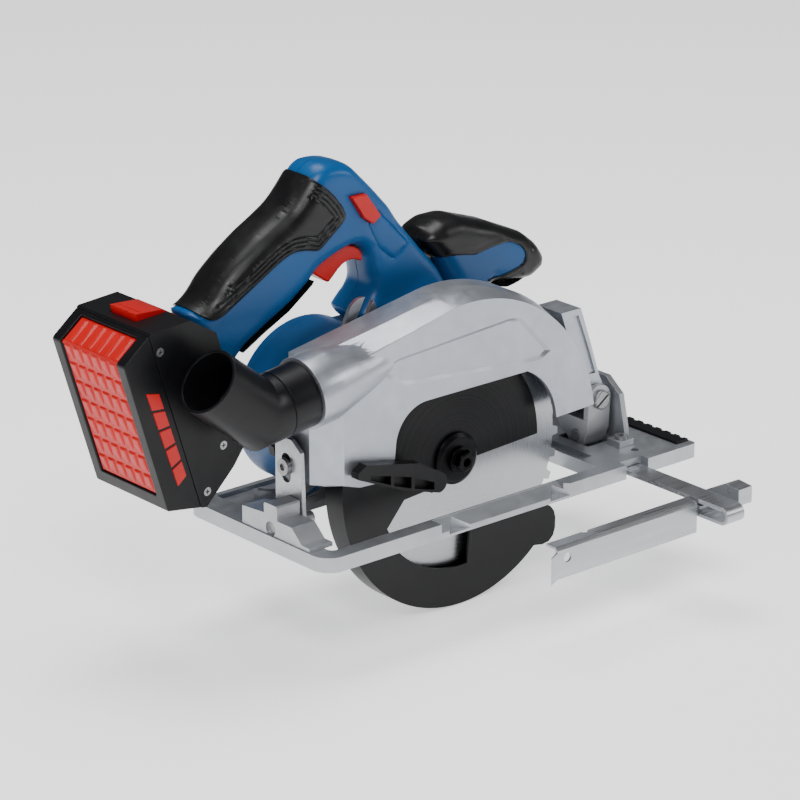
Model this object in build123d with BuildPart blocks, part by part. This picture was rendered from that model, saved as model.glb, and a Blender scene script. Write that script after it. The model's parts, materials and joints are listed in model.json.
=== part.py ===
from build123d import *
import os
from math import cos, degrees, radians, sin

os.makedirs("parts", exist_ok=True)

# A cordless circular saw with a 165 mm blade, at full depth of cut and no bevel. Millimetres.
# +X is the direction of cutting, +Y the motor side, +Z up. The origin is the middle of the base
# on its sole, so the blade hangs below z = 0.

# ---------------------------------------------------------------- driving dimensions
BASE_LENGTH = 292.0
BASE_WIDTH = 130.0
BASE_RIM = 9.0             # height of the near, front and rear rims
BASE_WEB = 3.5             # thickness of the motor-side web
STRIP = 10.0               # width of the strip on the blade side
WINDOW_REAR, WINDOW_FRONT = -134.0, 72.0
WINDOW_FAR = 19.0

BLADE_Y = -20.0            # middle of the blade
BLADE_R = 82.5
BLADE_T = 1.5
BLADE_BORE_R = 10.0
TEETH = 36
SPIN_X, SPIN_Z = -11.4, 25.5       # spindle axis, along Y

GUARD_NEAR, GUARD_FAR = -35.0, -3.0
GUARD_R = 104.0
GUARD_FACE_R = 100.0       # radius of the flat near face, inside the sloped rim
GUARD_SHOULDER = -21.0     # where the sloped rim meets the full radius
GUARD_WALL = 3.0

SHROUD_R = 91.0            # lower guard
SHROUD_NEAR, SHROUD_FAR = -27.0, -11.5
SHROUD_WALL = 1.6
SIGHT_R = 66.5             # outer edge of the sight cut-out in the lower guard's near wall

PORT_Y = -24.0             # dust port and its elbow
PORT_SLOPE = 7.5           # degrees that the port falls towards the rear
PORT_X, PORT_Z = -129.7, 94.0
COLLAR_LENGTH = 19.4
ELBOW_R = 19.5
ELBOW_BORE_R = 16.8
SOCKET_R, SOCKET_DEPTH = 17.5, 30.0    # seat of the dust hose in the elbow's mouth
ELBOW_LEG = 43.0
ELBOW_RISE = 38.5          # degrees above level that the open leg points

BEVEL_Y, BEVEL_Z = -14.0, 13.0     # bevel axis, along X
PIVOT_X, PIVOT_Z = 103.0, 36.0     # depth axis, along Y
DEPTH_R = 187.0                    # radius of the depth slot about the depth axis
DEPTH_REST = 2.0                   # angle of the depth bolt above level at full depth
DEPTH_MAX = 28.0                   # degrees that the saw lifts to bring the blade level with the sole

MODULE = 1.1
GEAR_TEETH, PINION_TEETH = 38, 10
GEAR_ANGLE = 148.5                 # direction from the spindle to the motor shaft
GEAR_R = MODULE * GEAR_TEETH / 2
PINION_R = MODULE * PINION_TEETH / 2
MOTOR_X = SPIN_X + (GEAR_R + PINION_R) * cos(radians(GEAR_ANGLE))
MOTOR_Z = SPIN_Z + (GEAR_R + PINION_R) * sin(radians(GEAR_ANGLE))
GEARBOX_Y = (-3.0, 15.0)
GUARD_SCREWS = ((24, 66), (-34, 72), (32, 44))
ARM_SCREW = (56, 76)
MOTOR_Y = (15.0, 47.0)
CAP_Y = (47.0, 53.0)
CAP_SCREWS = ((-108, 74), (-90, 22), (-40, 90), (-58, 14))
CASE_X, CASE_Z, CASE_R = -67.0, 57.0, 50.0     # round of the motor casing

HANDLE_Y = 32.0
GRIP_HALF = 18.5           # half the width over the rubber
RUBBER = 2.5

BATTERY_WIDTH = 68.0
BATTERY_TILT = 17.1        # degrees that the pack leans from upright

RUN = 0.05                 # radial clearance of a running fit
GAP = 0.3                  # clearance between a moving piece and its neighbour


def side(y):
    """Upright plane facing the blade side: local x is X, local y is Z, extrusion goes to -Y."""
    return Plane(origin=(0, y, 0), x_dir=(1, 0, 0), z_dir=(0, -1, 0))


def across(x):
    """Upright plane across the saw: local x is Y, local y is Z, extrusion goes to +X."""
    return Plane.YZ.offset(x)


def polar(centre, radius, angle):
    """Point at an angle, in degrees, round a centre."""
    return centre[0] + radius * cos(radians(angle)), centre[1] + radius * sin(radians(angle))


def arc_slot(centre, radius, width, start, end):
    """Cut a slot with round ends along an arc, from the start angle to the end angle."""
    inner, outer = radius - width / 2, radius + width / 2
    cap = degrees(width / 2 / radius)
    with BuildLine() as outline:
        CenterArc(centre, outer, start, end - start)
        CenterArc(centre, inner, start, end - start)
        ThreePointArc(polar(centre, outer, end), polar(centre, radius, end + cap), polar(centre, inner, end))
        ThreePointArc(polar(centre, outer, start), polar(centre, radius, start - cap),
                      polar(centre, inner, start))
    make_face(outline.edges(), mode=Mode.SUBTRACT)


SPINDLE = (SPIN_X, SPIN_Z)
PIVOT = (PIVOT_X, PIVOT_Z)
MOTOR = (MOTOR_X, MOTOR_Z)
BEVEL = (BEVEL_Y, BEVEL_Z)

# ================================================================ base
half_l, half_w = BASE_LENGTH / 2, BASE_WIDTH / 2
FRONT_PLATE = 84.0         # the full-height plate at the front starts here
GUIDE_X = (89.0, 103.0)    # the parallel guide's bar
GUIDE_Z = (1.8, 4.6)

with BuildPart() as base_plate:
    with BuildSketch(Plane.XY):
        Rectangle(BASE_LENGTH, BASE_WIDTH)
    extrude(amount=BASE_RIM)
    fillet(base_plate.edges().filter_by(Axis.Z).group_by(Axis.X)[0], 12)
    fillet(base_plate.edges().filter_by(Axis.Z).group_by(Axis.X)[-1], 3)
    # the web under the motor is thin, inside a low rim
    with BuildSketch(Plane.XY.offset(BASE_WEB)):
        with Locations(((FRONT_PLATE + -half_l + 16) / 2, (WINDOW_FAR + half_w - 4) / 2)):
            RectangleRounded(FRONT_PLATE + half_l - 16, half_w - 4 - WINDOW_FAR, 6)
    extrude(amount=BASE_RIM, mode=Mode.SUBTRACT)
    with BuildSketch(Plane.XY.offset(6)):
        with Locations((-20, half_w - 2)):
            Rectangle(2 * half_l - 60, 12)
    extrude(amount=BASE_RIM, mode=Mode.SUBTRACT)
    # the window that the blade, its guard and the gear case drop through
    with BuildSketch(Plane.XY):
        with Locations(((WINDOW_REAR + WINDOW_FRONT) / 2, (-half_w + STRIP + WINDOW_FAR) / 2)):
            RectangleRounded(WINDOW_FRONT - WINDOW_REAR, WINDOW_FAR + half_w - STRIP, 4)
    extrude(amount=BASE_RIM, mode=Mode.SUBTRACT)
    # the front plate drops to a ledge behind the guide channel
    with BuildSketch(Plane.XY.offset(6)):
        with Locations(((WINDOW_FRONT + FRONT_PLATE) / 2, 5)):
            Rectangle(FRONT_PLATE - WINDOW_FRONT - 4, 90)
    extrude(amount=BASE_RIM, mode=Mode.SUBTRACT)
    # ribs that stiffen the web
    with BuildSketch(Plane.XY.offset(BASE_WEB)):
        for x, turn in ((-112, 55), (-84, -55), (10, 55), (38, -55)):
            with Locations(Location((x, (WINDOW_FAR + half_w - 4) / 2, 0), turn)):
                Rectangle(44, 2)
        with Locations((-30, WINDOW_FAR + 1.2)):
            Rectangle(200, 2.4)
    extrude(amount=1.5)
    # sight edge: the middle of the strip is cut to a slope with a notch at each end
    with BuildSketch(across(-60)):
        Polygon((-half_w, 3.5), (-half_w, 9.5), (-half_w + 9, 9.5), (-half_w + 9, 8.5), align=None)
    extrude(amount=98, mode=Mode.SUBTRACT)
    for notch in (-46.0, 33.0):
        with BuildSketch(Plane.XY.offset(1.5)):
            Polygon((notch - 9, -half_w - 1), (notch + 9, -half_w - 1), (notch, -half_w + 8), align=None)
        extrude(amount=BASE_RIM, mode=Mode.SUBTRACT)
    # recess where the guide leaves, and its channel right through the base
    with BuildSketch(Plane.XY):
        with Locations(((GUIDE_X[0] + GUIDE_X[1]) / 2, -half_w)):
            Rectangle(GUIDE_X[1] - GUIDE_X[0] + 4, 12)
    extrude(amount=BASE_RIM, mode=Mode.SUBTRACT)
    with BuildSketch(side(half_w + 1)):
        with Locations(((GUIDE_X[0] + GUIDE_X[1]) / 2, (GUIDE_Z[0] + GUIDE_Z[1]) / 2)):
            Rectangle(GUIDE_X[1] - GUIDE_X[0] + 2 * GAP, GUIDE_Z[1] - GUIDE_Z[0] + 2 * GAP)
    extrude(amount=BASE_WIDTH + 2, mode=Mode.SUBTRACT)
    # pocket under the front bevel boss
    with BuildSketch(Plane.XY.offset(3)):
        with Locations((102, BEVEL_Y)):
            Rectangle(22, 26)
    extrude(amount=BASE_RIM, mode=Mode.SUBTRACT)
    # bevel quadrant screw holes, the guide clamp's hole and a small pilot hole
    for x, y, r in ((109, -37, 2.2), (109, 42, 2.2), (96, 30, 2.6), (109, -49, 2.4)):
        with Locations((x, y, 0)):
            Cylinder(r, BASE_RIM * 3, mode=Mode.SUBTRACT)
    # shallow seat for the cut-line scale
    with BuildSketch(Plane.XY.offset(BASE_RIM - 1)):
        with Locations((139.5, -4)):
            Rectangle(10.4, 110.4)
    extrude(amount=2, mode=Mode.SUBTRACT)
base_plate.part.label = "base_plate"
export_step(base_plate.part, "parts/base_plate.step")

with BuildPart() as cut_line_scale:
    with BuildSketch(Plane.XY.offset(BASE_RIM - 1)):
        with Locations((139.5, -4)):
            Rectangle(10, 110)
    extrude(amount=2.6)
    with BuildSketch(Plane.XY.offset(BASE_RIM - 1)):
        with Locations(*[(144.5, -54 + 8 * i) for i in range(13)]):
            Rectangle(5, 3.4)
    extrude(amount=4, mode=Mode.SUBTRACT)
cut_line_scale.part.label = "cut_line_scale"
export_step(cut_line_scale.part, "parts/cut_line_scale.step")

BLOCK_X = (-145.0, -128.0)
with BuildPart() as bevel_block:
    with BuildSketch(across(BLOCK_X[0])):
        Polygon((12, 9), (12, 20), (-8, 21.5), (-8, 28), (-20, 28), (-20, 19.5), (-33, 19.5),
                (-42, 11.5), (-49, 11.5), (-49, 9), align=None)
    extrude(amount=BLOCK_X[1] - BLOCK_X[0])
    with BuildSketch(across(BLOCK_X[0] - 1)):
        with Locations(BEVEL):
            Circle(3.6)
    extrude(amount=30, mode=Mode.SUBTRACT)
    with BuildSketch(across(BLOCK_X[0] - 1)):
        with Locations(BEVEL):
            Circle(4.4)
    extrude(amount=3, mode=Mode.SUBTRACT)
    chamfer(bevel_block.edges().filter_by(Axis.X).group_by(Axis.Z)[-1], 1)
bevel_block.part.label = "bevel_block"
export_step(bevel_block.part, "parts/bevel_block.step")

QUAD_X = (113.5, 117.5)
SLOT_R = 27.0
BEVEL_MAX = 45.0
LOCK_ANGLE = 25.0          # where the bevel lock's screw stands in the quadrant
with BuildPart() as bevel_quadrant:
    with BuildSketch(across(QUAD_X[0])):
        with BuildLine():
            Polyline((50, 9), (50, 22), (34, 38), (12, 47), (-18, 47), (-30, 38), (-35, 16), (-35, 9), (50, 9))
        make_face()
        with Locations(BEVEL):
            Circle(3.5, mode=Mode.SUBTRACT)
        arc_slot(BEVEL, SLOT_R, 6.4, LOCK_ANGLE - 6, LOCK_ANGLE + BEVEL_MAX + 6)
    extrude(amount=QUAD_X[1] - QUAD_X[0])
    with BuildSketch(Plane.XY.offset(BASE_RIM)):
        with Locations((109, -36.5), (109, 42)):
            Rectangle(12, 11)
    extrude(amount=4)
    with Locations((109, -37, BASE_RIM), (109, 42, BASE_RIM)):
        Cylinder(2.2, 20, mode=Mode.SUBTRACT)
bevel_quadrant.part.label = "bevel_quadrant"
export_step(bevel_quadrant.part, "parts/bevel_quadrant.step")

with BuildPart() as quadrant_screws:
    for y in (-37, 42):
        with BuildSketch(Plane.XY.offset(2)):
            with Locations((109, y)):
                Circle(2.1)
        extrude(amount=BASE_RIM + 3)
        with BuildSketch(Plane.XY.offset(BASE_RIM + 4)):
            with Locations((109, y)):
                Circle(4.2)
        extrude(amount=2)
        with BuildSketch(Plane.XY.offset(BASE_RIM + 4.8)):
            with Locations((109, y)):
                RegularPolygon(1.8, 6)
        extrude(amount=4, mode=Mode.SUBTRACT)
quadrant_screws.part.label = "quadrant_screws"
export_step(quadrant_screws.part, "parts/quadrant_screws.step")

with BuildPart() as bevel_pins:
    for start, length in ((BLOCK_X[0] + 2, 28.0), (92.0, 25.0)):
        with BuildSketch(across(start)):
            with Locations(BEVEL):
                Circle(3.5)
        extrude(amount=length)
bevel_pins.part.label = "bevel_pins"
export_step(bevel_pins.part, "parts/bevel_pins.step")

# ---------------------------------------------------------------- parallel guide
LOOP_Y = -142.5
LOOP_R = 5.6
FENCE_Y = (-124.0, -112.0)
FENCE_X = (-33.0, 103.0)
FENCE_Z = (-16.5, 3.0)
SHEET = 1.6
with BuildPart() as parallel_guide:
    bar_mid = (GUIDE_X[0] + GUIDE_X[1]) / 2
    bar_w = GUIDE_X[1] - GUIDE_X[0]
    with BuildSketch(Plane.XY.offset(GUIDE_Z[0])):
        with Locations((bar_mid, (LOOP_Y + 46) / 2)):
            Rectangle(bar_w, 46 - LOOP_Y)
    extrude(amount=GUIDE_Z[1] - GUIDE_Z[0])
    # the end is folded back under itself
    with BuildSketch(across(GUIDE_X[0])):
        with Locations((LOOP_Y, GUIDE_Z[1] - LOOP_R)):
            Circle(LOOP_R)
            Circle(LOOP_R - 2.0, mode=Mode.SUBTRACT)
            with Locations((LOOP_R, 0)):
                Rectangle(2 * LOOP_R, 4 * LOOP_R, mode=Mode.SUBTRACT)
        bottom = GUIDE_Z[1] - 2 * LOOP_R
        with Locations(((LOOP_Y + FENCE_Y[1]) / 2, bottom + 1.0)):
            Rectangle(FENCE_Y[1] - LOOP_Y, 2.0)
        with Locations(((FENCE_Y[1] - 14 + FENCE_Y[1]) / 2, -0.6)):
            Rectangle(14, 1.8)
        with Locations((FENCE_Y[1] - 1.0, (bottom - 0.2) / 2)):
            Rectangle(2.0, -bottom + 0.6)
    extrude(amount=bar_w)
    # raised stop on the bar's outer edge
    with BuildSketch(across(GUIDE_X[1])):
        Polygon((-143, GUIDE_Z[0]), (-143, 12), (-132, 13), (-116, GUIDE_Z[1]), (-116, GUIDE_Z[0]), align=None)
    extrude(amount=11)
    with BuildSketch(across(GUIDE_X[1] + 2)):
        Polygon((-141, GUIDE_Z[0] - 1), (-141, 10), (-132, 10.8), (-118, GUIDE_Z[0] - 1), align=None)
    extrude(amount=9 - 2 + 3, mode=Mode.SUBTRACT)
parallel_guide.part.label = "parallel_guide"
export_step(parallel_guide.part, "parts/parallel_guide.step")

with BuildPart() as guide_fence:
    with BuildSketch(across(FENCE_X[0] + 9)):
        with BuildLine():
            Polyline((FENCE_Y[0], FENCE_Z[0]), (FENCE_Y[0], FENCE_Z[1] - 2), (FENCE_Y[0] + 2, FENCE_Z[1]),
                     (FENCE_Y[1] - 2.2, FENCE_Z[1]), (FENCE_Y[1] - 2.2, FENCE_Z[1] - SHEET),
                     (FENCE_Y[0] + 2.6, FENCE_Z[1] - SHEET), (FENCE_Y[0] + SHEET, FENCE_Z[1] - 2.6),
                     (FENCE_Y[0] + SHEET, FENCE_Z[0]), (FENCE_Y[0], FENCE_Z[0]))
        make_face()
    extrude(amount=GUIDE_X[0] - 1 - FENCE_X[0] - 9)
    # the rear end is flared away from the work
    with BuildSketch(Plane.XY.offset(FENCE_Z[0])):
        Polygon((FENCE_X[0] + 9.5, FENCE_Y[0]), (FENCE_X[0] + 9.5, FENCE_Y[0] + SHEET),
                (FENCE_X[0] + 1.2, FENCE_Y[0] - 3.2), (FENCE_X[0], FENCE_Y[0] - 4.4), align=None)
    extrude(amount=FENCE_Z[1] - FENCE_Z[0] - 3)
    with BuildSketch(side(FENCE_Y[1])):
        with Locations((-16, -4.5)):
            Circle(3)
    extrude(amount=20, mode=Mode.SUBTRACT)
    with BuildSketch(Plane.XY.offset(FENCE_Z[1] - 3)):
        with Locations((6, FENCE_Y[1] - 2)):
            Circle(2.4)
    extrude(amount=6, mode=Mode.SUBTRACT)
guide_fence.part.label = "guide_fence"
export_step(guide_fence.part, "parts/guide_fence.step")

with BuildPart() as guide_clamp_screw:
    with BuildSketch(Plane.XY.offset(GUIDE_Z[1] + GAP)):
        with Locations((96, 30)):
            Circle(2.5)
    extrude(amount=14)
    with BuildSketch(Plane.XY.offset(BASE_RIM + 1.5)):
        with Locations((96, 30)):
            Circle(5.5)
    extrude(amount=8)
    with BuildSketch(Plane.XY.offset(BASE_RIM + 4.6)):
        with Locations((96, 30)):
            SlotOverall(26, 4)
    extrude(amount=9)
guide_clamp_screw.part.label = "guide_clamp_screw"
export_step(guide_clamp_screw.part, "parts/guide_clamp_screw.step")

# ================================================================ tilting brackets
LOCK_Y, LOCK_Z = polar(BEVEL, SLOT_R, LOCK_ANGLE)

with BuildPart() as front_bracket:
    # boss on the bevel pin, joined to the two cheeks that hold the depth pivot
    with BuildSketch(across(93)):
        with Locations(BEVEL):
            Circle(8)
        Polygon((-24, 17), (-24, 24), (2, 24), (2, 17), (-7, 10), (-21, 10), align=None)
    extrude(amount=18)
    for far in (-20, 2):
        with BuildSketch(side(far)):
            with Locations(PIVOT):
                Circle(9)
            Polygon((93, 20), (94, 36), (112, 36), (111, 20), align=None)
        extrude(amount=4 if far < 0 else 5)
    # lug for the bevel lock
    with BuildSketch(across(106)):
        Polygon((1, 17), (1, 24), (4, 32), (15, 32), (17, 26), (15, 17), align=None)
    extrude(amount=5)
    with BuildSketch(across(90)):
        with Locations(BEVEL):
            Circle(3.5 + RUN)
        with Locations((LOCK_Y, LOCK_Z)):
            Circle(2.9 + RUN)
    extrude(amount=30, mode=Mode.SUBTRACT)
    with BuildSketch(side(10)):
        with Locations(PIVOT):
            Circle(4.0)
    extrude(amount=60, mode=Mode.SUBTRACT)
front_bracket.part.label = "front_bracket"
export_step(front_bracket.part, "parts/front_bracket.step")

with BuildPart() as depth_pivot_screw:
    with BuildSketch(side(4)):
        with Locations(PIVOT):
            Circle(3.95)
    extrude(amount=28)
    with BuildSketch(side(-24)):
        with Locations(PIVOT):
            Circle(6)
    extrude(amount=3)
    fillet(depth_pivot_screw.edges().group_by(Axis.Y)[0], 1.2)
    with BuildSketch(side(-25.8)):
        with Locations(Location((PIVOT_X, PIVOT_Z, 0), 35)):
            Rectangle(14, 1.5)
    extrude(amount=4, mode=Mode.SUBTRACT)
depth_pivot_screw.part.label = "depth_pivot_screw"
export_step(depth_pivot_screw.part, "parts/depth_pivot_screw.step")

with BuildPart() as bevel_lock_screw:
    with BuildSketch(across(106.5)):
        with Locations((LOCK_Y, LOCK_Z)):
            Circle(2.9)
    extrude(amount=14)
    with BuildSketch(across(QUAD_X[1] + GAP)):
        with Locations((LOCK_Y, LOCK_Z)):
            Circle(6)
    extrude(amount=7)
    with BuildSketch(across(QUAD_X[1] + 2)):
        with Locations((LOCK_Y, LOCK_Z)):
            SlotOverall(25, 4.5)
    extrude(amount=8)
bevel_lock_screw.part.label = "bevel_lock_screw"
export_step(bevel_lock_screw.part, "parts/bevel_lock_screw.step")

GUIDE_PLANE = (0.2, 2.8)
with BuildPart() as depth_guide:
    # folded sheet: an upright tab on the bevel pin, and the slotted arc about the depth pivot
    with BuildSketch(across(-127.5)):
        with Locations(BEVEL):
            Circle(8)
        Polygon((-22, 13), (-20, 56), (-12, 62), (GUIDE_PLANE[1], 62), (GUIDE_PLANE[1], 13), align=None)
        with Locations(BEVEL):
            Circle(3.5 + RUN, mode=Mode.SUBTRACT)
        with Locations(Location((-7, 44, 0), 90)):
            SlotOverall(18, 8, mode=Mode.SUBTRACT)
    extrude(amount=2.6)
    with BuildSketch(side(GUIDE_PLANE[1])):
        with BuildLine():
            Line((-127.5, 13), polar(PIVOT, DEPTH_R + 11, 184))
            ThreePointArc(polar(PIVOT, DEPTH_R + 11, 184), polar(PIVOT, DEPTH_R + 11, 168),
                          polar(PIVOT, DEPTH_R + 11, 153))
            ThreePointArc(polar(PIVOT, DEPTH_R + 11, 153), polar(PIVOT, DEPTH_R, 150),
                          polar(PIVOT, DEPTH_R - 11, 153))
            ThreePointArc(polar(PIVOT, DEPTH_R - 11, 153), polar(PIVOT, DEPTH_R - 11, 168),
                          polar(PIVOT, DEPTH_R - 11, 184))
            Line(polar(PIVOT, DEPTH_R - 11, 184), polar(PIVOT, DEPTH_R - 11, 187))
            Line(polar(PIVOT, DEPTH_R - 11, 187), (-127.5, 13))
        make_face()
        Polygon((-127.5, 13), (-127.5, 60), (-110, 52), polar(PIVOT, DEPTH_R + 10, 174),
                polar(PIVOT, DEPTH_R + 10, 183), align=None)
        arc_slot(PIVOT, DEPTH_R, 7, 180 - DEPTH_REST - DEPTH_MAX - 1, 180 - DEPTH_REST + 1)
    extrude(amount=GUIDE_PLANE[1] - GUIDE_PLANE[0])
depth_guide.part.label = "depth_guide"
export_step(depth_guide.part, "parts/depth_guide.step")

with BuildPart() as bevel_stop_bolt:
    with BuildSketch(across(-130.4)):
        with Locations((-7, 45)):
            Circle(5)
    extrude(amount=2.8)
    with BuildSketch(across(-127.6)):
        with Locations((-7, 45)):
            Circle(3)
    extrude(amount=4.5)
    with BuildSketch(across(-131)):
        with Locations((-7, 45)):
            RegularPolygon(2.4, 6)
    extrude(amount=2, mode=Mode.SUBTRACT)
bevel_stop_bolt.part.label = "bevel_stop_bolt"
export_step(bevel_stop_bolt.part, "parts/bevel_stop_bolt.step")

# ================================================================ guards
PORT_DIR = Vector(-cos(radians(PORT_SLOPE)), 0, -sin(radians(PORT_SLOPE)))     # out of the port
PORT_POS = Vector(PORT_X, PORT_Y, PORT_Z)
PORT_OUT_R = 21.6
PORT_WALL = 3.2
PORT_RING = 15.0           # length of the port's round end; beyond it a cone fades into the guard
PORT_REACH = 66.0
PORT_NARROWS = 12.0
SEAM_POS = PORT_POS + PORT_DIR * COLLAR_LENGTH
BEND_POS = SEAM_POS + PORT_DIR * 13.3
MOUTH_DIR = Vector(-cos(radians(ELBOW_RISE)), 0, sin(radians(ELBOW_RISE)))


def port_plane(distance):
    """Plane square to the dust port's axis, this far out from its ring; extrusion goes outwards."""
    return Plane(origin=PORT_POS + PORT_DIR * distance, x_dir=(0, 1, 0), z_dir=PORT_DIR)


TOP_REAR = (PORT_X, PORT_Z + PORT_OUT_R)       # where the straight top line meets the port


def guard_outline(radius, drop, rear):
    """The guard seen from the side: an arc over the blade, a straight top to the port, a flat bottom."""
    start = polar(SPINDLE, radius, 8)
    top = polar(SPINDLE, radius, 90 + PORT_SLOPE)
    end = (rear, TOP_REAR[1] - drop)
    with BuildLine() as outline:
        ThreePointArc(start, polar(SPINDLE, radius, 50), top)
        Polyline(top, end, (rear, 36.0), (rear + 12, 32.0), (-58.0, 30.0), (-30, 34.0), (46.0, 38.0), start)
    make_face(outline.edges())


with BuildPart() as upper_guard:
    with BuildSketch(side(GUARD_FAR)):
        guard_outline(GUARD_R, 4, PORT_X + 8)
    extrude(amount=GUARD_FAR - GUARD_SHOULDER)
    with BuildSketch(side(GUARD_SHOULDER)):
        guard_outline(GUARD_R, 4, PORT_X + 8)
    with BuildSketch(side(GUARD_NEAR)):
        guard_outline(GUARD_FACE_R, 10, PORT_X + 22)
    loft()
    # round dust port that grows out of the rear
    with BuildSketch(port_plane(-PORT_RING)):
        Circle(PORT_OUT_R)
    with BuildSketch(port_plane(-PORT_REACH)):
        Circle(PORT_OUT_R - PORT_NARROWS)
    loft()
    with BuildSketch(port_plane(-PORT_RING)):
        Circle(PORT_OUT_R)
    extrude(amount=PORT_RING)
    # inside: a cavity for the lower guard, open at the bottom
    with BuildSketch(side(GUARD_FAR - GUARD_WALL)):
        with BuildLine():
            inner = GUARD_FACE_R - GUARD_WALL - 1
            ThreePointArc(polar(SPINDLE, inner, -20), polar(SPINDLE, inner, 50), polar(SPINDLE, inner, 97.5))
            Polyline(polar(SPINDLE, inner, 97.5), (-108, TOP_REAR[1] - 14), (-108, 20),
                     polar(SPINDLE, inner, -20))
        make_face()
    extrude(amount=GUARD_FAR - GUARD_NEAR - 2 * GUARD_WALL, mode=Mode.SUBTRACT)
    with BuildSketch(port_plane(-PORT_RING)):
        Circle(PORT_OUT_R - PORT_WALL)
    with BuildSketch(port_plane(-PORT_REACH)):
        Circle(PORT_OUT_R - PORT_WALL - PORT_NARROWS)
    loft(mode=Mode.SUBTRACT)
    with BuildSketch(port_plane(1)):
        Circle(PORT_OUT_R - PORT_WALL)
    extrude(amount=-1 - PORT_RING, mode=Mode.SUBTRACT)
    # sight window in the near wall
    with BuildSketch(side(GUARD_NEAR + GUARD_WALL + 1)):
        with BuildLine():
            ThreePointArc((54, 20), (53.5, 52), (33, 73))
            Polyline((33, 73), (-46, 73))
            ThreePointArc((-46, 73), (-62, 66), (-69, 50))
            Polyline((-69, 50), (-72, 20), (54, 20))
        make_face()
    extrude(amount=GUARD_WALL + 2, mode=Mode.SUBTRACT)
    # gear case nose and the guard spring pass through the far wall
    with BuildSketch(side(GUARD_FAR + 1)):
        with Locations(SPINDLE):
            Circle(21)
    extrude(amount=GUARD_WALL + 2, mode=Mode.SUBTRACT)
    # panel recess above the window, with sloping sides
    with BuildSketch(side(GUARD_NEAR)):
        Polygon((-84, 98), (-66, 103.5), (19, 109), (28, 107), (51.5, 82), (44, 78), (20, 79), (-60, 86),
                align=None)
    extrude(amount=-1.5, taper=55, mode=Mode.SUBTRACT)
    # screw holes to the gear case
    with BuildSketch(side(GUARD_FAR + 1)):
        with Locations(*GUARD_SCREWS):
            Circle(2.2)
    extrude(amount=GUARD_WALL + 2, mode=Mode.SUBTRACT)
upper_guard.part.label = "upper_guard"
export_step(upper_guard.part, "parts/upper_guard.step")

GUARD_END = 322.0          # angle where the lower guard's rim ends at the front
with BuildPart() as lower_guard:
    # rim band and the two walls
    with BuildSketch(side(SHROUD_FAR)):
        with BuildLine():
            CenterArc(SPINDLE, SHROUD_R, 172, GUARD_END - 172)
            CenterArc(SPINDLE, SHROUD_R - SHROUD_WALL * 1.5, 172, GUARD_END - 172)
            Line(polar(SPINDLE, SHROUD_R, 172), polar(SPINDLE, SHROUD_R - SHROUD_WALL * 1.5, 172))
            Line(polar(SPINDLE, SHROUD_R, GUARD_END), polar(SPINDLE, SHROUD_R - SHROUD_WALL * 1.5, GUARD_END))
        make_face()
    extrude(amount=SHROUD_FAR - SHROUD_NEAR)
    with BuildSketch(side(SHROUD_FAR)):
        with BuildLine():
            CenterArc(SPINDLE, SHROUD_R, 172, GUARD_END - 172)
            Polyline(polar(SPINDLE, SHROUD_R, GUARD_END), (55, -19.5), polar(SPINDLE, 17.5, 300),
                     polar(SPINDLE, 17.5, 235), polar(SPINDLE, SHROUD_R, 172))
        make_face()
        with Locations(SPINDLE):
            Circle(17.9)
            Circle(15 + RUN, mode=Mode.SUBTRACT)
    extrude(amount=SHROUD_WALL)
    with BuildSketch(side(-4.5)):
        with Locations(SPINDLE):
            Circle(17.9)
            Circle(15 + RUN, mode=Mode.SUBTRACT)
    extrude(amount=-4.5 - SHROUD_FAR + SHROUD_WALL)
    # near wall: rim sector with the sight cut-out, and the web that carries the lever
    with BuildSketch(side(SHROUD_NEAR + SHROUD_WALL)):
        with BuildLine():
            CenterArc(SPINDLE, SHROUD_R, 172, GUARD_END - 172)
            CenterArc(SPINDLE, SIGHT_R, 223, 51)
            Polyline(polar(SPINDLE, SHROUD_R, 172), polar(SPINDLE, 52, 174), polar(SPINDLE, 29, 176),
                     polar(SPINDLE, 29, 205), (-55.8, 11.8), (-68.8, -3.1), polar(SPINDLE, SIGHT_R, 223))
            Polyline(polar(SPINDLE, SIGHT_R, 274), (-4.6, -21.4), (-4, -15), (37, -15), (55, -19.5),
                     polar(SPINDLE, SHROUD_R, GUARD_END))
        make_face()
    extrude(amount=SHROUD_WALL)
    # front toe
    with BuildSketch(side(SHROUD_FAR)):
        Polygon((50, -18), (56, -19.2), (60.5, -21.6), (63.6, -25.4), (64.8, -30), (64.6, -37), (63, -41.4),
                (59.6, -44.4), (54.5, -45.2), (47, -43.8), (40, -46), (33, -50), align=None)
    extrude(amount=SHROUD_FAR - SHROUD_NEAR)
    with BuildSketch(side(SHROUD_FAR - SHROUD_WALL)):
        Polygon((0, -14), (70, -14), (63, -27), (62.8, -37), (61, -40.6), (58.6, -42.4), (54.5, -43.2),
                (47, -41.9), (40, -44), (34, -46), (20, -55), (0, -30), align=None)
    extrude(amount=SHROUD_FAR - SHROUD_NEAR - 2 * SHROUD_WALL, mode=Mode.SUBTRACT)
lower_guard.part.label = "lower_guard"
export_step(lower_guard.part, "parts/lower_guard.step")

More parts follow.
